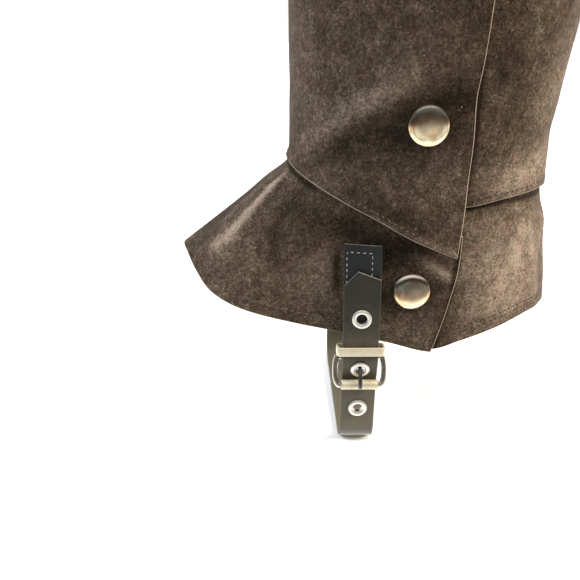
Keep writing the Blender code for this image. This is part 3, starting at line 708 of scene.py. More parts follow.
panels = {
    "seamFront": -91.78,
    "seamRear": 268.22,
    "hiddenEdge": 70.0,
    # Where the search for a corner starts
    "startAngle": 90.0,
    "rounds": 6,
    "meshStep": {"shaft": 0.0017, "foot": 0.0010},
    # Samples across and up from which a panel's sizes are measured
    "samples": 61,
    # Radius and steps of the rounded cut edge
    "rounding": (0.0004, 3),
    # Rise of a lower edge at an angle
    "frontLap": (
        (-92, -0.0030), (-45, -0.0015), (0, -0.0012), (20, -0.0026), (41, -0.0056),
        (50, -0.0072), (65, -0.0110), (84, -0.0190), (100, -0.0250), (108, -0.0270),
    ),
    "rearLap": (
        (70, 0.0000), (88, -0.0012), (106, -0.0032), (125, -0.0008), (147, 0.0008),
        (180, -0.0002), (225, -0.0010), (268, -0.0030),
    ),
    # Angle of a free edge at a rise
    "shaftEdge": (
        (-0.0270, 99.5), (-0.0120, 102.5), (0.0010, 104.6), (0.0220, 105.6), (0.0430, 105.8),
        (0.0580, 106.6), (0.1200, 107.6), (0.2100, 108.4),
    ),
    "footEdge": (
        (-0.0740, 89.5), (-0.0610, 94.0), (-0.0510, 97.5), (-0.0340, 102.6), (-0.0140, 105.0),
    ),
}


def hemRise(angle):
    bend, x, y, z = readTable(allRibs, angle)
    return -np.linalg.norm(np.stack([x, -y, z], axis=-1) - ringPoint(angle, bend), axis=-1)


def topRise(angle):
    return form["topHeight"] - readTable(allRibs, angle)[0]


def steady(value):
    return lambda rise: value + 0.0 * np.asarray(rise, float)


def tableCurve(name, more=0.0):
    return lambda key: readTable(panels[name], key)[0] + more


def panelEdges(lower, upper, edgeLeft, edgeRight):
    # A panel's cut: lower and upper edges give the rise at an angle, side edges the angle at a rise
    def settle(edge, level):
        angle = edge(level(panels["startAngle"]))
        for _ in range(panels["rounds"]):
            angle = edge(level(angle))
        return float(angle)

    lowLeft, lowRight = settle(edgeLeft, lower), settle(edgeRight, lower)
    highLeft, highRight = settle(edgeLeft, upper), settle(edgeRight, upper)

    def place(across, up):
        low = lower(lowLeft + (lowRight - lowLeft) * across)
        high = upper(highLeft + (highRight - highLeft) * across)
        leftRise = lower(lowLeft) + (upper(highLeft) - lower(lowLeft)) * up
        rightRise = lower(lowRight) + (upper(highRight) - lower(lowRight)) * up
        angle = edgeLeft(leftRise) * (1 - across) + edgeRight(rightRise) * across
        return angle, low + (high - low) * up

    return place


class Panel:
    # One cut of suede on the form, with its sizes along its edges

    def __init__(self, name, lower, upper, left, right, height):
        self.name = name
        self.nap = name.split("_")[0]
        self.edges = panelEdges(lower, upper, left, right)
        self.height = height
        self.steps = np.linspace(0, 1, panels["samples"])
        points = self.points(*np.meshgrid(self.steps, self.steps))
        steps = np.linalg.norm(np.diff(points, axis=1), axis=-1)
        rises = np.linalg.norm(np.diff(points, axis=0), axis=-1)
        self.widths = steps.sum(axis=1)
        self.heights = rises.sum(axis=0)
        self.area = float((steps[:-1] * rises[:, :-1]).sum())
        self.flat = (round(float(self.widths.max()), 3), round(float(self.heights.max()), 3))

    def points(self, across, up, lift=0.0):
        angle, rise = self.edges(across, up)
        return raisedPoint(angle, rise, self.height(angle, rise) + lift)

    def width(self, up):
        return np.interp(up, self.steps, self.widths)

    def tall(self, across):
        return np.interp(across, self.steps, self.heights)

    def atEdges(self, fromFree, fromLow):
        # Shares across and up for distances from the free edge and from the lower edge
        up = np.asarray(fromLow, float) / self.heights[-1]
        across = 1.0 - np.asarray(fromFree, float) / self.width(up)
        up = fromLow / self.tall(across)
        return across, up


def addGrid(mesh, columns, rows):
    # Shares across and up of the vertices of a new grid
    bmesh.ops.create_grid(mesh, x_segments=columns, y_segments=rows, size=0.5)
    spots = np.array([(vert.co.x + 0.5, vert.co.y + 0.5) for vert in mesh.verts])
    return np.clip(spots, 0.0, 1.0).T


def shapeGrid(mesh, points):
    for vert, point in zip(mesh.verts, points):
        vert.co = point
    for face in mesh.faces:
        face.smooth = True


def addWall(piece, wall, rounding, steps, edgeMaterial):
    # Thickens a grid outwards and rounds its cut edges. Its materials are inside, outside, edge.
    solid = piece.modifiers.new("wall", "SOLIDIFY")
    solid.thickness = wall
    solid.offset = 1.0
    solid.material_offset = 1
    solid.material_offset_rim = 2
    rounded = piece.modifiers.new("roundedEdge", "BEVEL")
    rounded.width = rounding
    rounded.segments = steps
    rounded.limit_method = "ANGLE"
    rounded.angle_limit = radians(fineness["roundFrom"])
    rounded.material = edgeMaterial


def buildPanel(panel, suede, inside, edge):
    step = panels["meshStep"][panel.nap]
    mesh = bmesh.new()
    uvLayer = mesh.loops.layers.uv.new("edgePlace")
    toneLayer = mesh.verts.layers.float.new("napAndShadeTone")
    across, up = addGrid(mesh, int(panel.widths.max() / step), int(panel.heights.max() / step))
    shapeGrid(mesh, panel.points(across, up))
    # Each vertex takes its nap tone and its painted shade and highlights from the table
    for vert, tone in zip(mesh.verts, foldSum(napAndShadeTones[panel.nap], *panel.edges(across, up))):
        vert[toneLayer] = tone
    fromFree = (1.0 - across) * panel.width(up)
    fromLow = up * panel.tall(across)
    mesh.verts.index_update()
    for face in mesh.faces:
        for loop in face.loops:
            index = loop.vert.index
            loop[uvLayer].uv = (fromFree[index], fromLow[index])
    piece = linkMesh(panel.name + "_suede", mesh, inside, suede, edge)
    addWall(piece, form["suedeWall"], *panels["rounding"], 2)
    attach(piece, "root")
    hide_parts(panel.name)
    print(panel.name, "cut:", *panel.flat, "area", round(panel.area, 4))
    return piece


sewing = {
    "pitch": 0.0029,
    "length": 0.0017,
    "radius": 0.00030,
    # How deep a stitch lies, and the lift that gives its facing
    "sink": 0.00004,
    "aim": 0.001,
    "boxPitch": 0.0027,
    "boxLength": 0.0015,
    "boxRadius": 0.00025,
    # Sides of a stitch round it and along it
    "sides": (6, 4),
    # Lines of stitches by their distances from the free edge and from the lower edge
    "foot_rear": (
        ((0.003, 0.0048), (0.200, 0.0048)), ((0.003, 0.0070), (0.200, 0.0070)),
        ((0.0024, 0.009), (0.0024, 0.060)),
    ),
    "foot_front": (((0.004, 0.0064), (0.270, 0.0064)),),
    "shaft_rear": (((0.003, 0.0028), (0.165, 0.0028)), ((0.0024, 0.006), (0.0024, 0.200))),
    "shaft_front": (
        ((0.004, 0.0028), (0.180, 0.0028)),
        ((0.0092, 0.0030), (0.0086, 0.0300), (0.0084, 0.0470)),
        ((0.0070, 0.0400), (0.0070, 0.0470)),
        ((0.0024, 0.1700), (0.0024, 0.1990)),
    ),
}


def linkPiece(name, mesh, material):
    piece = linkMesh(name, mesh, material)
    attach(piece, "root")
    return piece


def addStitch(mesh, start, end, facing, radius):
    # One stitch: a small rounded bead of thread drawn out along the seam
    start, end, facing = Vector(start), Vector(end), Vector(facing)
    along = (end - start).normalized()
    aside = facing.cross(along).normalized()
    turn = Matrix((along, aside, along.cross(aside))).transposed().to_4x4()
    size = Matrix.Diagonal(((end - start).length * 0.5, radius, radius, 1.0))
    place = Matrix.Translation((start + end) * 0.5) @ turn @ size
    sides, rings = sewing["sides"]
    bmesh.ops.create_uvsphere(mesh, u_segments=sides, v_segments=rings, radius=1.0, matrix=place)


def alongLine(spots, pitch, length):
    # Both ends of each stitch along a line of spots
    spots = np.array(spots, float)
    reach = np.concatenate([[0.0], np.cumsum(np.linalg.norm(np.diff(spots, axis=0), axis=1))])
    starts = np.arange(int(reach[-1] / pitch)) * pitch
    ends = np.stack([starts, starts + length], axis=-1)
    return np.interp(ends, reach, spots[:, 0]), np.interp(ends, reach, spots[:, 1])


def sewPanel(mesh, panel, spots):
    # Stitches along a line given by distances from the free edge and the lower edge
    fromFree, fromLow = alongLine(spots, sewing["pitch"], sewing["length"])
    across, up = panel.atEdges(fromFree, fromLow)
    points = panel.points(across, up, form["suedeWall"] - sewing["sink"])
    facings = panel.points(across, up, form["suedeWall"] + sewing["aim"]) - points
    for (start, end), (facing, _) in zip(points, facings):
        addStitch(mesh, start, end, facing, sewing["radius"])


def sewRibbon(mesh, ribbon, spots):
    aside, distance = alongLine(spots, sewing["boxPitch"], sewing["boxLength"])
    points = ribbon.raised(aside, distance, ribbon.wall)
    facings = ribbon.facing(aside, distance)
    for (start, end), (facing, _) in zip(points, facings):
        addStitch(mesh, start, end, facing, sewing["boxRadius"])


def findOnForm(x, z, height, side=1.0, extra=0.0):
    # The angles and rises whose points, raised by height and extra, lie at x and z
    turn, step = form["probe"]
    x, z = np.broadcast_arrays(np.asarray(x, float), np.asarray(z, float))
    halfWidth, above = form["guess"]
    angle = np.degrees(np.arctan2(halfWidth * side, -x))
    rise = z + above

    def reach(placeAngle, placeRise):
        return raisedPoint(placeAngle, placeRise, height(placeAngle, placeRise) + extra)

    for _ in range(form["rounds"]):
        here = reach(angle, rise)
        byAngle = (reach(angle + turn, rise) - here) / turn
        byRise = (reach(angle, rise + step) - here) / step
        missX = x - here[..., 0]
        missZ = z - here[..., 2]
        scale = byAngle[..., 0] * byRise[..., 2] - byRise[..., 0] * byAngle[..., 2]
        angle = angle + (missX * byRise[..., 2] - byRise[..., 0] * missZ) / scale
        rise = rise + (byAngle[..., 0] * missZ - missX * byAngle[..., 2]) / scale
    return angle, rise


def suedeDepth(x, z, side=1.0):
    # y of the foot front's outer face, with the gap that leather keeps to it
    extra = form["suedeWall"] + strap["leatherGap"]
    angle, rise = findOnForm(x, z, footFrontHeight, side, extra)
    return raisedPoint(angle, rise, footFrontHeight(angle, rise) + extra)[..., 1]


# The strap passes under the arch, and its base holds the buckle
strap = {
    "x": -0.0305,
    "width": 0.0166,
    "wall": 0.0019,
    "tipHeight": -0.0364,
    # How far the point's shoulders lie below its apex, and the apex's distance from the middle
    "tipFalls": (0.0071, 0.0036),
    "tipApex": -0.0021,
    "tipRun": 0.022,
    "floor": -0.1278,
    "corner": 0.011,
    "innerEnd": -0.0300,
    "hemClear": -0.0680,
    "innerClear": -0.0730,
    "leatherGap": 0.0003,
    # Length over which the strap turns to lie flat on the suede
    "holdRun": 0.010,
    # Radius and steps of the rounded cut edge
    "rounding": (0.0003, 2),
    "columns": 16,
    "rows": 230,
    "steps": {"outer": 16, "free": 30, "corner": 8, "rising": 12, "inner": 14},
    # Height and y of the free strap's inner face, below the hem of the suede
    "run": (
        (-0.1400, -0.0500), (-0.1180, -0.0502), (-0.1080, -0.0506), (-0.0990, -0.0512), (-0.0925, -0.0514),
        (-0.0870, -0.0529), (-0.0805, -0.0548), (-0.0752, -0.0547), (-0.0680, -0.0543), (-0.0600, -0.0539),
    ),
}

base = {
    "width": 0.0168,
    "wall": 0.0016,
    "top": -0.0247,
    "freeHang": -0.0740,
    # How far the end stands above the hinge bar after it has gone round
    "wrapRise": 0.0022,
    "columns": 14,
    "rows": 90,
    # Steps of the path down the suede and round the hinge bar
    "steps": (24, 12),
    # Stitched box: first and last distance from the middle, and from the upper end
    "boxAcross": (-0.0070, 0.0042),
    "boxAlong": (0.0036, 0.0210),
}

buckle = {
    "hinge": (-0.0305, -0.0513, -0.0805),
    "hingeRadius": 0.0011,
    "roller": (-0.0305, -0.0564, -0.0925),
    "rollerRadius": 0.0024,
    "rollerLength": 0.0174,
    "rollerBore": 0.0016,
    # Rounding of the roller's ends: inset from its radius, distance from its end
    "rollerInsets": ((0.0004, 0.0), (0.0001, 0.0001), (0.0, 0.0005)),
    "barRadius": 0.0013,
    "armRadius": 0.00135,
    # Share of the radius at an arm's upper end, and the points over which it grows
    "armTaper": (0.82, 4.0),
    "barReach": 0.0100,
    # Middle line of an arm: across, and along from the hinge to the roller
    "armLine": (
        (0.0093, -0.0010), (0.0104, -0.0008), (0.0112, 0.0010), (0.0116, 0.0040), (0.0117, 0.0080),
        (0.0113, 0.0107), (0.0106, 0.0124), (0.0098, 0.0131), (0.0089, 0.0131),
    ),
    # y and z of the prong's middle line, with its radius
    "prong": (
        (-0.0527, -0.0824, 0.00100), (-0.0542, -0.0833, 0.00100), (-0.0556, -0.0841, 0.00100),
        (-0.0570, -0.0852, 0.00100), (-0.0583, -0.0868, 0.00098), (-0.0593, -0.0888, 0.00096),
        (-0.0600, -0.0908, 0.00094), (-0.0602, -0.0924, 0.00085),
    ),
}

keeper = {
    "place": (-0.0305, -0.0547, -0.0747),
    "lean": -4.0,
    "size": (0.0228, 0.0076, 0.0042),
    "cornerRadius": 0.0022,
    "rimRadius": 0.00035,
    "wall": 0.0013,
}


def straightRow(start, end, steps):
    return np.array([start + (end - start) * step / steps for step in range(steps)])


def basePath():
    # Inner face as y and z: down the suede, round the hinge bar and back up
    down, bend = base["steps"]
    heights = straightRow(base["top"], strap["hemClear"], down)
    points = [np.array([y, z]) for y, z in zip(suedeDepth(strap["x"], heights), heights)]
    points.append(np.array([suedeDepth(strap["x"], strap["hemClear"]), strap["hemClear"]]))
    wrap = buckle["hingeRadius"] + strap["leatherGap"]
    centre = np.array(buckle["hinge"][1:])
    points.append(np.array([0.5 * (points[-1][0] + centre[0] - wrap), base["freeHang"]]))
    for step in range(bend + 1):
        turn = pi * (1.0 + step / bend)
        points.append(centre + np.array([cos(turn), sin(turn)]) * wrap)
    points.append(centre + np.array([wrap, base["wrapRise"]]))
    return np.array(points)


def strapPath():
    # Inner face as y and z: down the base, under the arch and up the inner side of the suede
    steps = strap["steps"]
    lift = base["wall"] + strap["leatherGap"]
    heights = straightRow(strap["tipHeight"], strap["hemClear"], steps["outer"])
    outer = np.stack([suedeDepth(strap["x"], heights) - lift, heights], axis=-1)
    cornerTop = strap["floor"] + strap["corner"]
    heights = np.linspace(strap["hemClear"], cornerTop, steps["free"])
    free = np.stack([readTable(strap["run"], heights)[0], heights], axis=-1)
    sideY = free[-1, 0]
    turns = 0.5 * pi * np.arange(1, steps["corner"] + 1) / steps["corner"]
    corner = np.stack([sideY + strap["corner"] * (1.0 - np.cos(turns)),
                       cornerTop - strap["corner"] * np.sin(turns)], axis=-1)
    under = np.concatenate([free[-1:], corner])[::-1] * np.array([-1.0, 1.0])
    part = np.arange(1, steps["rising"] + 1) / steps["rising"]
    innerHem = suedeDepth(strap["x"], strap["innerClear"], -1.0)
    rising = np.stack([-sideY + (innerHem + sideY) * smooth(part, 0.0, 1.0),
                       cornerTop + (strap["innerClear"] - cornerTop) * part], axis=-1)
    heights = np.linspace(strap["innerClear"], strap["innerEnd"], steps["inner"] + 1)[1:]
    inner = np.stack([suedeDepth(strap["x"], heights, -1.0), heights], axis=-1)
    return np.concatenate([outer, free, corner, under, rising, inner])


def leanAt(x, z, side):
    # How much deeper the suede lies at x than at the strap's middle
    clear = strap["hemClear"] if side > 0.0 else strap["innerClear"]
    hold = smooth(z, clear - strap["holdRun"], clear)
    lean = np.zeros_like(hold)
    near = hold > 0.0
    if near.any():
        height = np.maximum(z[near], clear)
        deeper = suedeDepth(x[near], height, side) - suedeDepth(strap["x"], height, side)
        lean[near] = hold[near] * deeper
    return lean


class Ribbon:
    # A strip of leather drawn along a path of y and z, with a pointed first end

    def __init__(self, path, width, wall, tipFalls=(0.0, 0.0), tipApex=0.0, tipRun=1.0):
        self.path = path
        self.width = width
        self.wall = wall
        self.tipFalls = tipFalls
        self.tipApex = tipApex
        self.tipRun = tipRun
        gaps = np.linalg.norm(np.diff(path, axis=0), axis=1)
        self.reach = np.concatenate([[0.0], np.cumsum(gaps)])

    def inner(self, aside, distance):
        # aside is from the middle, distance from the first end
        aside, distance = np.broadcast_arrays(np.asarray(aside, float), np.asarray(distance, float))
        single = aside.ndim == 0
        aside, distance = np.atleast_1d(aside), np.atleast_1d(distance)
        half = 0.5 * self.width
        left = self.tipFalls[0] * (self.tipApex - aside) / (half + self.tipApex)
        right = self.tipFalls[1] * (aside - self.tipApex) / (half - self.tipApex)
        slope = np.maximum(left, right)
        moved = distance + slope * np.clip(1.0 - distance / self.tipRun, 0.0, None)
        moved = np.minimum(moved, self.reach[-1])
        y = np.interp(moved, self.reach, self.path[:, 0])
        z = np.interp(moved, self.reach, self.path[:, 1])
        x = strap["x"] + aside
        outer = y < 0.0
        lean = np.zeros_like(y)
        if outer.any():
            lean[outer] = leanAt(x[outer], z[outer], 1.0)
        if not outer.all():
            lean[~outer] = leanAt(x[~outer], z[~outer], -1.0)
        points = np.stack([x, y + lean, z], axis=-1)
        return points[0] if single else points

    def facing(self, aside, distance):
        step = form["probe"][1]
        across = self.inner(aside + step, distance) - self.inner(aside - step, distance)
        onward = self.inner(aside, distance + step) - self.inner(aside, distance - step)
        normal = np.cross(onward, across)
        return normal / np.linalg.norm(normal, axis=-1, keepdims=True)

    def raised(self, aside, distance, lift):
        return self.inner(aside, distance) + self.facing(aside, distance) * lift

    def distanceAt(self, height):
        # Distance of the first place where the path comes down to a height
        below = np.nonzero(self.path[:, 1] < height)[0][0]
        part = slice(below - 1, below + 1)
        return np.interp(height, self.path[part, 1][::-1], self.reach[part][::-1])


def cutWith(piece, tools):
    for tool in tools:
        step = piece.modifiers.new("cut", "BOOLEAN")
        step.operation = "DIFFERENCE"
        step.solver = "EXACT"
        step.object = tool
    bpy.context.view_layer.update()
    graph = bpy.context.evaluated_depsgraph_get()
    finished = bpy.data.meshes.new_from_object(piece.evaluated_get(graph))
    piece.modifiers.clear()
    piece.data = finished
    for tool in tools:
        bpy.data.objects.remove(tool, do_unlink=True)


def cutterRod(radius, length, matrix):
    mesh = bmesh.new()
    bmesh.ops.create_cone(mesh, cap_ends=True, segments=fineness["holeSides"], radius1=radius,
                          radius2=radius, depth=length)
    bmesh.ops.transform(mesh, matrix=matrix, verts=mesh.verts)
    return linkMesh("cutter", mesh)


def turnTo(spot, facing):
    return Matrix.Translation(spot) @ Vector(facing).to_track_quat("Z", "Y").to_matrix().to_4x4()


def buildRibbon(name, ribbon, sizes, leather, edge, node):
    mesh = bmesh.new()
    across, up = addGrid(mesh, sizes["columns"], sizes["rows"])
    shapeGrid(mesh, ribbon.inner((across - 0.5) * ribbon.width, (1.0 - up) * ribbon.reach[-1]))
    piece = linkMesh(name, mesh, leather, leather, edge)
    addWall(piece, ribbon.wall, *strap["rounding"], -1)
    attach(piece, "root")
    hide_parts(node)
    return piece


def turnedMesh(profile, matrix, steps):
    # A profile of radius and height spun round its axis, then moved to its place
    mesh = bmesh.new()
    verts = [mesh.verts.new((radius, 0.0, height)) for radius, height in profile]
    edges = [mesh.edges.new(pair) for pair in zip(verts, verts[1:])]
    if profile[0][0] > 0.0:
        edges.append(mesh.edges.new((verts[-1], verts[0])))
    bmesh.ops.spin(mesh, geom=verts + edges, cent=(0, 0, 0), axis=(0, 0, 1), angle=2.0 * pi,
                   steps=steps, use_merge=True)
    bmesh.ops.remove_doubles(mesh, verts=mesh.verts, dist=0.000005)
    bmesh.ops.recalc_face_normals(mesh, faces=mesh.faces)
    bmesh.ops.transform(mesh, matrix=matrix, verts=mesh.verts)
    return mesh


def finishMetal(name, mesh, material, node):
    for face in mesh.faces:
        face.smooth = True
    piece = linkPiece(name, mesh, material)
    piece.data.set_sharp_from_angle(angle=radians(fineness["sharpFrom"]))
    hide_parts(node)


def addRod(mesh, points, radii):
    # A round rod through points, closed at both ends
    points = [Vector(point) for point in points]
    ring = bmesh.ops.create_circle(mesh, cap_ends=False, segments=fineness["rodSides"], radius=1.0)["verts"]
    places = []
    for index, (point, radius) in enumerate(zip(points, radii)):
        before = points[max(index - 1, 0)]
        after = points[min(index + 1, len(points) - 1)]
        turn = (after - before).to_track_quat("Z", "X").to_matrix().to_4x4()
        places.append(Matrix.Translation(point) @ turn @ Matrix.Scale(radius, 4))
    bmesh.ops.transform(mesh, matrix=places[0], verts=ring)
    edges = list({edge for vert in ring for edge in vert.link_edges})
    ends = [edges]
    for before, after in zip(places, places[1:]):
        drawn = bmesh.ops.extrude_edge_only(mesh, edges=edges)["geom"]
        ring = [part for part in drawn if isinstance(part, bmesh.types.BMVert)]
        edges = [part for part in drawn if isinstance(part, bmesh.types.BMEdge)]
        edges = [edge for edge in edges if edge.verts[0] in ring and edge.verts[1] in ring]
        bmesh.ops.transform(mesh, matrix=after @ before.inverted(), verts=ring)
    ends.append(edges)
    for loop in ends:
        bmesh.ops.contextual_create(mesh, geom=loop)
    bmesh.ops.recalc_face_normals(mesh, faces=mesh.faces)


snaps = {
    # x and height of each cap's middle on the closure side
    "places": ((-0.0081, -0.0461), (-0.0056, 0.0278), (-0.0040, 0.1028), (-0.0020, 0.1778)),
    "gap": 0.0003,
    "capRadius": 0.0085,
    "backRadius": 0.0052,
    # Radius and height of the cap's outline, from its crown to its rim
    "cap": (
        (0.0, 0.00315), (0.0012, 0.00314), (0.0024, 0.00311), (0.0036, 0.00304), (0.0048, 0.00293),
        (0.0058, 0.00278), (0.0066, 0.00259), (0.0072, 0.00237), (0.0076, 0.00213), (0.0079, 0.00184),
        (0.0082, 0.00160), (0.0084, 0.00132), (0.0085, 0.00102), (0.0085, 0.00078), (0.0083, 0.00048),
        (0.0078, 0.00018), (0.0070, 0.0), (0.0, 0.0),
    ),
    # The same of a back's outline
    "back": (
        (0.0, 0.0006), (0.00208, 0.0006), (0.002392, 0.00108), (0.00286, 0.0012), (0.004264, 0.0012),
        (0.004888, 0.00096), (0.0052, 0.00048), (0.005044, 0.0), (0.0, 0.0),
    ),
}


def seatOfDisc(angle, rise, height, radius, way):
    # A disc's place, just clear of the highest cloth under it; way is 1 out, -1 in
    wall = form["suedeWall"] if way > 0.0 else 0.0
    facing = normalOf(formPoint, angle, rise) * way
    seat = raisedPoint(angle, rise, height(angle, rise) + wall)
    turns = 2.0 * pi * np.arange(fineness["rimPoints"]) / fineness["rimPoints"]
    nearAngle = angle + radius * np.cos(turns) / form["girthPerDegree"]
    nearRise = rise + radius * np.sin(turns)
    near = raisedPoint(nearAngle, nearRise, height(nearAngle, nearRise) + wall)
    highest = max(0.0, float(((near - seat) @ facing).max()))
    return turnTo(Vector(seat + facing * (highest + snaps["gap"])), facing)


def buildSnaps(metal):
    for number, (x, z) in enumerate(snaps["places"], 1):
        front = footFrontHeight if number == 1 else shaftFrontHeight
        rear = footRearHeight if number == 1 else shaftRearHeight
        angle, rise = (float(part) for part in findOnForm(x, z, front, 1.0, form["suedeWall"]))
        seat = seatOfDisc(angle, rise, front, snaps["capRadius"], 1.0)
        cap = turnedMesh(snaps["cap"], seat, fineness["capSides"])
        finishMetal(f"snapCap{number}", cap, metal, f"snap_cap_{number}")
        seat = seatOfDisc(angle, rise, rear, snaps["backRadius"], -1.0)
        back = turnedMesh(snaps["back"], seat, fineness["backSides"])
        finishMetal(f"snapBack{number}", back, metal, f"snap_back_{number}")


eyelets = {
    "heights": (-0.0587, -0.0840, -0.1074),
    "radius": 0.0046,
    "bore": 0.00245,
    "wall": 0.0004,
    # How far the rolled ring stands up, and how full its rounding is
    "rise": 0.00085,
    "fullness": 0.8,
    # Hole in the strap: clearance round the bore, depth of the cut
    "holeGap": 0.0007,
    "holeDepth": 0.006,
    "play": 0.0001,
}


def eyeletPlaces(ribbon):
    found = []
    for height in eyelets["heights"]:
        distance = float(ribbon.distanceAt(height))
        facing = Vector(ribbon.facing(0.0, distance))
        found.append((Vector(ribbon.inner(0.0, distance)) + facing * ribbon.wall, facing))
    return found


def buildEyelets(places, nickel):
    bore, radius, play = eyelets["bore"], eyelets["radius"], eyelets["play"]
    low = strap["leatherGap"]
    back = -strap["wall"] - play
    rim = 0.5 * (radius - bore)
    profile = [(bore, back)]
    steps = fineness["rollSteps"]
    for step in range(steps + 1):
        turn = pi * (1.0 - step / steps)
        rise = eyelets["rise"] * sin(turn) ** eyelets["fullness"] if 0 < step < steps else 0.0
        profile.append((bore + rim + rim * cos(turn), low + rise))
    profile += [(bore + eyelets["wall"], low - play), (bore + eyelets["wall"], back)]
    for number, (spot, facing) in enumerate(places, 1):
        ring = turnedMesh(profile, turnTo(spot, facing), fineness["ringSides"])
        finishMetal(f"eyeletRing{number}", ring, nickel, f"eyelet_{number}")


def bucklePlane():
    # Frame of the buckle: across is +X, along runs from the hinge to the roller
    hinge, roller = Vector(buckle["hinge"]), Vector(buckle["roller"])
    across = Vector((1.0, 0.0, 0.0))
    along = (roller - hinge).normalized()
    turn = Matrix((across, along, across.cross(along))).transposed().to_4x4()
    return Matrix.Translation(hinge) @ turn


def roundedLine(points, steps):
    # Points of a smooth line through a few given ones
    points = np.array(points, float)
    spots = np.linspace(0.0, len(points) - 1.0, steps)
    table = np.column_stack([np.arange(len(points)), points])
    return np.stack(readTable(table, spots), axis=-1)


def buildFrame(steel):
    plane = bucklePlane()
    mesh = bmesh.new()
    line = roundedLine(buckle["armLine"], fineness["armPoints"])
    thin, run = buckle["armTaper"]
    growth = np.minimum(1.0, np.arange(len(line)) / run)
    radii = buckle["armRadius"] * (thin + (1.0 - thin) * growth)
    for side in (-1.0, 1.0):
        addRod(mesh, [plane @ Vector((side * across, along, 0.0)) for across, along in line], radii)
    reach = Vector((buckle["barReach"], 0.0, 0.0))
    for bar, radius in (("hinge", "hingeRadius"), ("roller", "barRadius")):
        middle = Vector(buckle[bar])
        addRod(mesh, [middle - reach, middle + reach], [buckle[radius]] * 2)
    finishMetal("buckleFrame", mesh, steel, "buckle_frame")


def buildRoller(steel):
    half = 0.5 * buckle["rollerLength"]
    radius, bore = buckle["rollerRadius"], buckle["rollerBore"]
    insets = buckle["rollerInsets"]
    profile = [(bore, -half)]
    profile += [(radius - inset, fromEnd - half) for inset, fromEnd in insets]
    profile += [(radius - inset, half - fromEnd) for inset, fromEnd in reversed(insets)]
    profile.append((bore, half))
    place = turnTo(Vector(buckle["roller"]), (1.0, 0.0, 0.0))
    mesh = turnedMesh(profile, place, fineness["ringSides"])
    finishMetal("buckleRoller", mesh, steel, "buckle_roller")


def buildProng(steel):
    mesh = bmesh.new()
    prong = roundedLine(buckle["prong"], fineness["prongPoints"])
    addRod(mesh, [(strap["x"], y, z) for y, z, _ in prong], [radius for _, _, radius in prong])
    finishMetal("buckleProng", mesh, steel, "buckle_prong")


def roundEdges(mesh, edges, offset, steps):
    bmesh.ops.bevel(mesh, geom=edges, offset=offset, offset_type="OFFSET", segments=steps,
                    profile=0.5, affect="EDGES", clamp_overlap=True, material=-1)
    bmesh.ops.recalc_face_normals(mesh, faces=mesh.faces)


def buildKeeper(steel):
    # A box without ends, its long corners rounded, given a wall and rounded rims
    size = Vector(keeper["size"])
    mesh = bmesh.new()
    bmesh.ops.create_cube(mesh, size=1.0)
    bmesh.ops.scale(mesh, vec=size, verts=mesh.verts)
    ends = [face for face in mesh.faces if abs(face.normal.z) > 0.9]
    bmesh.ops.delete(mesh, geom=ends, context="FACES_ONLY")
    corners = [edge for edge in mesh.edges if abs((edge.verts[0].co - edge.verts[1].co).z) > 0.9 * size.z]
    roundEdges(mesh, corners, keeper["cornerRadius"], fineness["cornerSteps"])
    bmesh.ops.solidify(mesh, geom=list(mesh.faces), thickness=keeper["wall"])
    bmesh.ops.recalc_face_normals(mesh, faces=mesh.faces)
    sharp = radians(fineness["roundFrom"])
    rims = [edge for edge in mesh.edges if edge.is_manifold and edge.calc_face_angle(0.0) > sharp]
    roundEdges(mesh, rims, keeper["rimRadius"], fineness["rimSteps"])
    place = Matrix.Translation(keeper["place"]) @ Matrix.Rotation(radians(keeper["lean"]), 4, "X")
    bmesh.ops.transform(mesh, matrix=place, verts=mesh.verts)
    finishMetal("buckleKeeper", mesh, steel, "buckle_keeper")


def buildFloor():
    mesh = bmesh.new()
    bmesh.ops.create_grid(mesh, x_segments=1, y_segments=1, size=0.5 * stage["floorSize"],
                          matrix=Matrix.Translation((0.0, 0.0, stage["floorHeight"])))
    finish = Finish("paleFloor", {"Roughness": 0.9, "Base Color": stage["floorColour"]})
    floor = linkMesh("floor", mesh, finish.material)
    floor.visible_diffuse = False  # the light that comes up from below is the sky's low light
    floor.visible_glossy = False


def buildSky():
    # White to the eye, and to the cover bright behind and above and dim in front
    world = bpy.data.worlds.new("studio")
    world.use_nodes = True
    sky = Nodes(world.node_tree)
    way = sky.node("ShaderNodeTexCoord", output=0)
    behind, above = sky.part(way, 1), sky.part(way, 2)
    light = stage["frontLight"] + sky.spread(behind, *stage["backLight"], "SMOOTHSTEP")
    for name in ("topLight", "lowLight"):
        light = light + sky.spread(above, *stage[name], "SMOOTHSTEP")
    seen = sky.node("ShaderNodeLightPath", output=0)
    mirrored = sky.node("ShaderNodeLightPath", output=3)
    patches = sky.noise(way, stage["patchScale"], 1.0)
    room = sky.spread(patches, *stage["patchLight"], "SMOOTHSTEP")
    level = sky.spread(above, *stage["patchHeights"], "SMOOTHSTEP")
    light = light + mirrored * room * level
    strength = light + (1.0 - light) * seen
    backdrop = world.node_tree.nodes["Background"]
    backdrop.inputs["Color"].default_value = (1.0, 1.0, 1.0, 1.0)
    world.node_tree.links.new(strength.socket, backdrop.inputs["Strength"])
    bpy.context.scene.world = world


addCamera()
for lampName, facts in lamps.items():
    addLamp(lampName, *facts)
buildFloor()
buildSky()
bpy.context.scene.view_settings.view_transform = "Standard"
print("camera, lamps and floor placed")

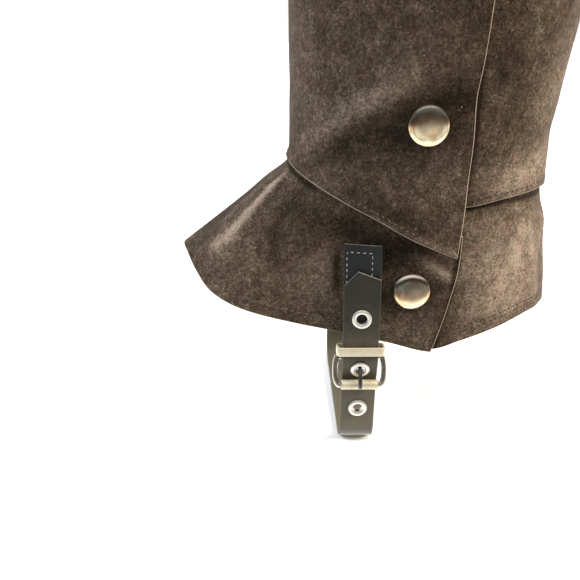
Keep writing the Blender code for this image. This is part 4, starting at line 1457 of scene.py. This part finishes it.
# Material, grooves and pale edges of each panel, as suedeFinish takes them
suedes = {
    "shaft_front": ("shaftFrontSuede", ((1, 0.0028, 0.0008, 0.6), (0, 0.0086, 0.0009, 0.4)),
                    ((0, 0.0010), (1, 0.0010))),
    "shaft_rear": ("shaftRearSuede", ((1, 0.0030, 0.0012, 0.6),), ((1, 0.0016),)),
    "foot_front": ("footFrontSuede", ((1, 0.0064, 0.0009, 0.5),), ((0, 0.0009), (1, 0.0005))),
    "foot_rear": ("footRearSuede", ((1, 0.0059, 0.0016, 0.5),), ((1, 0.0005),)),
}
suedeOf = {name: suedeFinish(*facts) for name, facts in suedes.items()}
fleshSide = suedeFinish("suedeFleshSide", lighter=0.06)
rawEdge = grainFinish("rawSuedeEdge", rawEdgeLook, rawEdgeLook["colours"])
print("suede finishes made")

seamFront = steady(panels["seamFront"])
seamRear = steady(panels["seamRear"])
hiddenEdge = steady(panels["hiddenEdge"])
shaftEdge = tableCurve("shaftEdge")
footEdge = tableCurve("footEdge")
frontLap = tableCurve("frontLap")
rearLap = tableCurve("rearLap")
frontTop = tableCurve("frontLap", form["seamLap"])
rearTop = tableCurve("rearLap", form["seamLap"])

darkThread, paleThread, whiteThread = (threadFinish(name) for name in threadLook["colours"])
for panel, thread in (
    (Panel("foot_rear", hemRise, rearTop, hiddenEdge, seamRear, footRearHeight), darkThread),
    (Panel("foot_front", hemRise, frontTop, seamFront, footEdge, footFrontHeight), paleThread),
    (Panel("shaft_rear", rearLap, topRise, hiddenEdge, seamRear, shaftRearHeight), darkThread),
    (Panel("shaft_front", frontLap, topRise, seamFront, shaftEdge, shaftFrontHeight), paleThread),
):
    piece = buildPanel(panel, suedeOf[panel.name], fleshSide, rawEdge)
    mesh = bmesh.new()
    for seam in sewing[panel.name]:
        sewPanel(mesh, panel, seam)
    stitches = linkPiece(panel.name + "_stitches", mesh, thread)
print("suede panels built and sewn")

leatherEdge = grainFinish("leatherEdge", leatherEdgeLook, leatherEdgeLook["colours"])
baseRibbon = Ribbon(basePath(), base["width"], base["wall"])
buildRibbon("baseLeather", baseRibbon, base, leatherFinish("baseLeather"), leatherEdge,
            "strap_base")
strapRibbon = Ribbon(strapPath(), strap["width"], strap["wall"], strap["tipFalls"], strap["tipApex"],
                     strap["tipRun"])
strapPiece = buildRibbon("strapLeather", strapRibbon, strap, leatherFinish("strapLeather"), leatherEdge,
                         "strap")
left, right = base["boxAcross"]
upper, lower = base["boxAlong"]
mesh = bmesh.new()
sewRibbon(mesh, baseRibbon, ((left, lower), (left, upper), (right, upper), (right, lower), (left, lower)))
linkPiece("boxStitches", mesh, whiteThread)
places = eyeletPlaces(strapRibbon)
cutWith(strapPiece, [
    cutterRod(eyelets["bore"] + eyelets["holeGap"], eyelets["holeDepth"],
              turnTo(spot - facing * strap["wall"] * 0.5, facing))
    for spot, facing in places
])
buildEyelets(places, metalFinish("brightNickel"))
print("leather and eyelets built")

creamSilver = metalFinish("creamSilver")
buildFrame(metalFinish("warmSilver"))
buildRoller(creamSilver)
buildProng(metalFinish("shadedProngSilver"))
buildKeeper(creamSilver)
buildSnaps(capPaintedReflectionFinish())
print("buckle and snaps built")
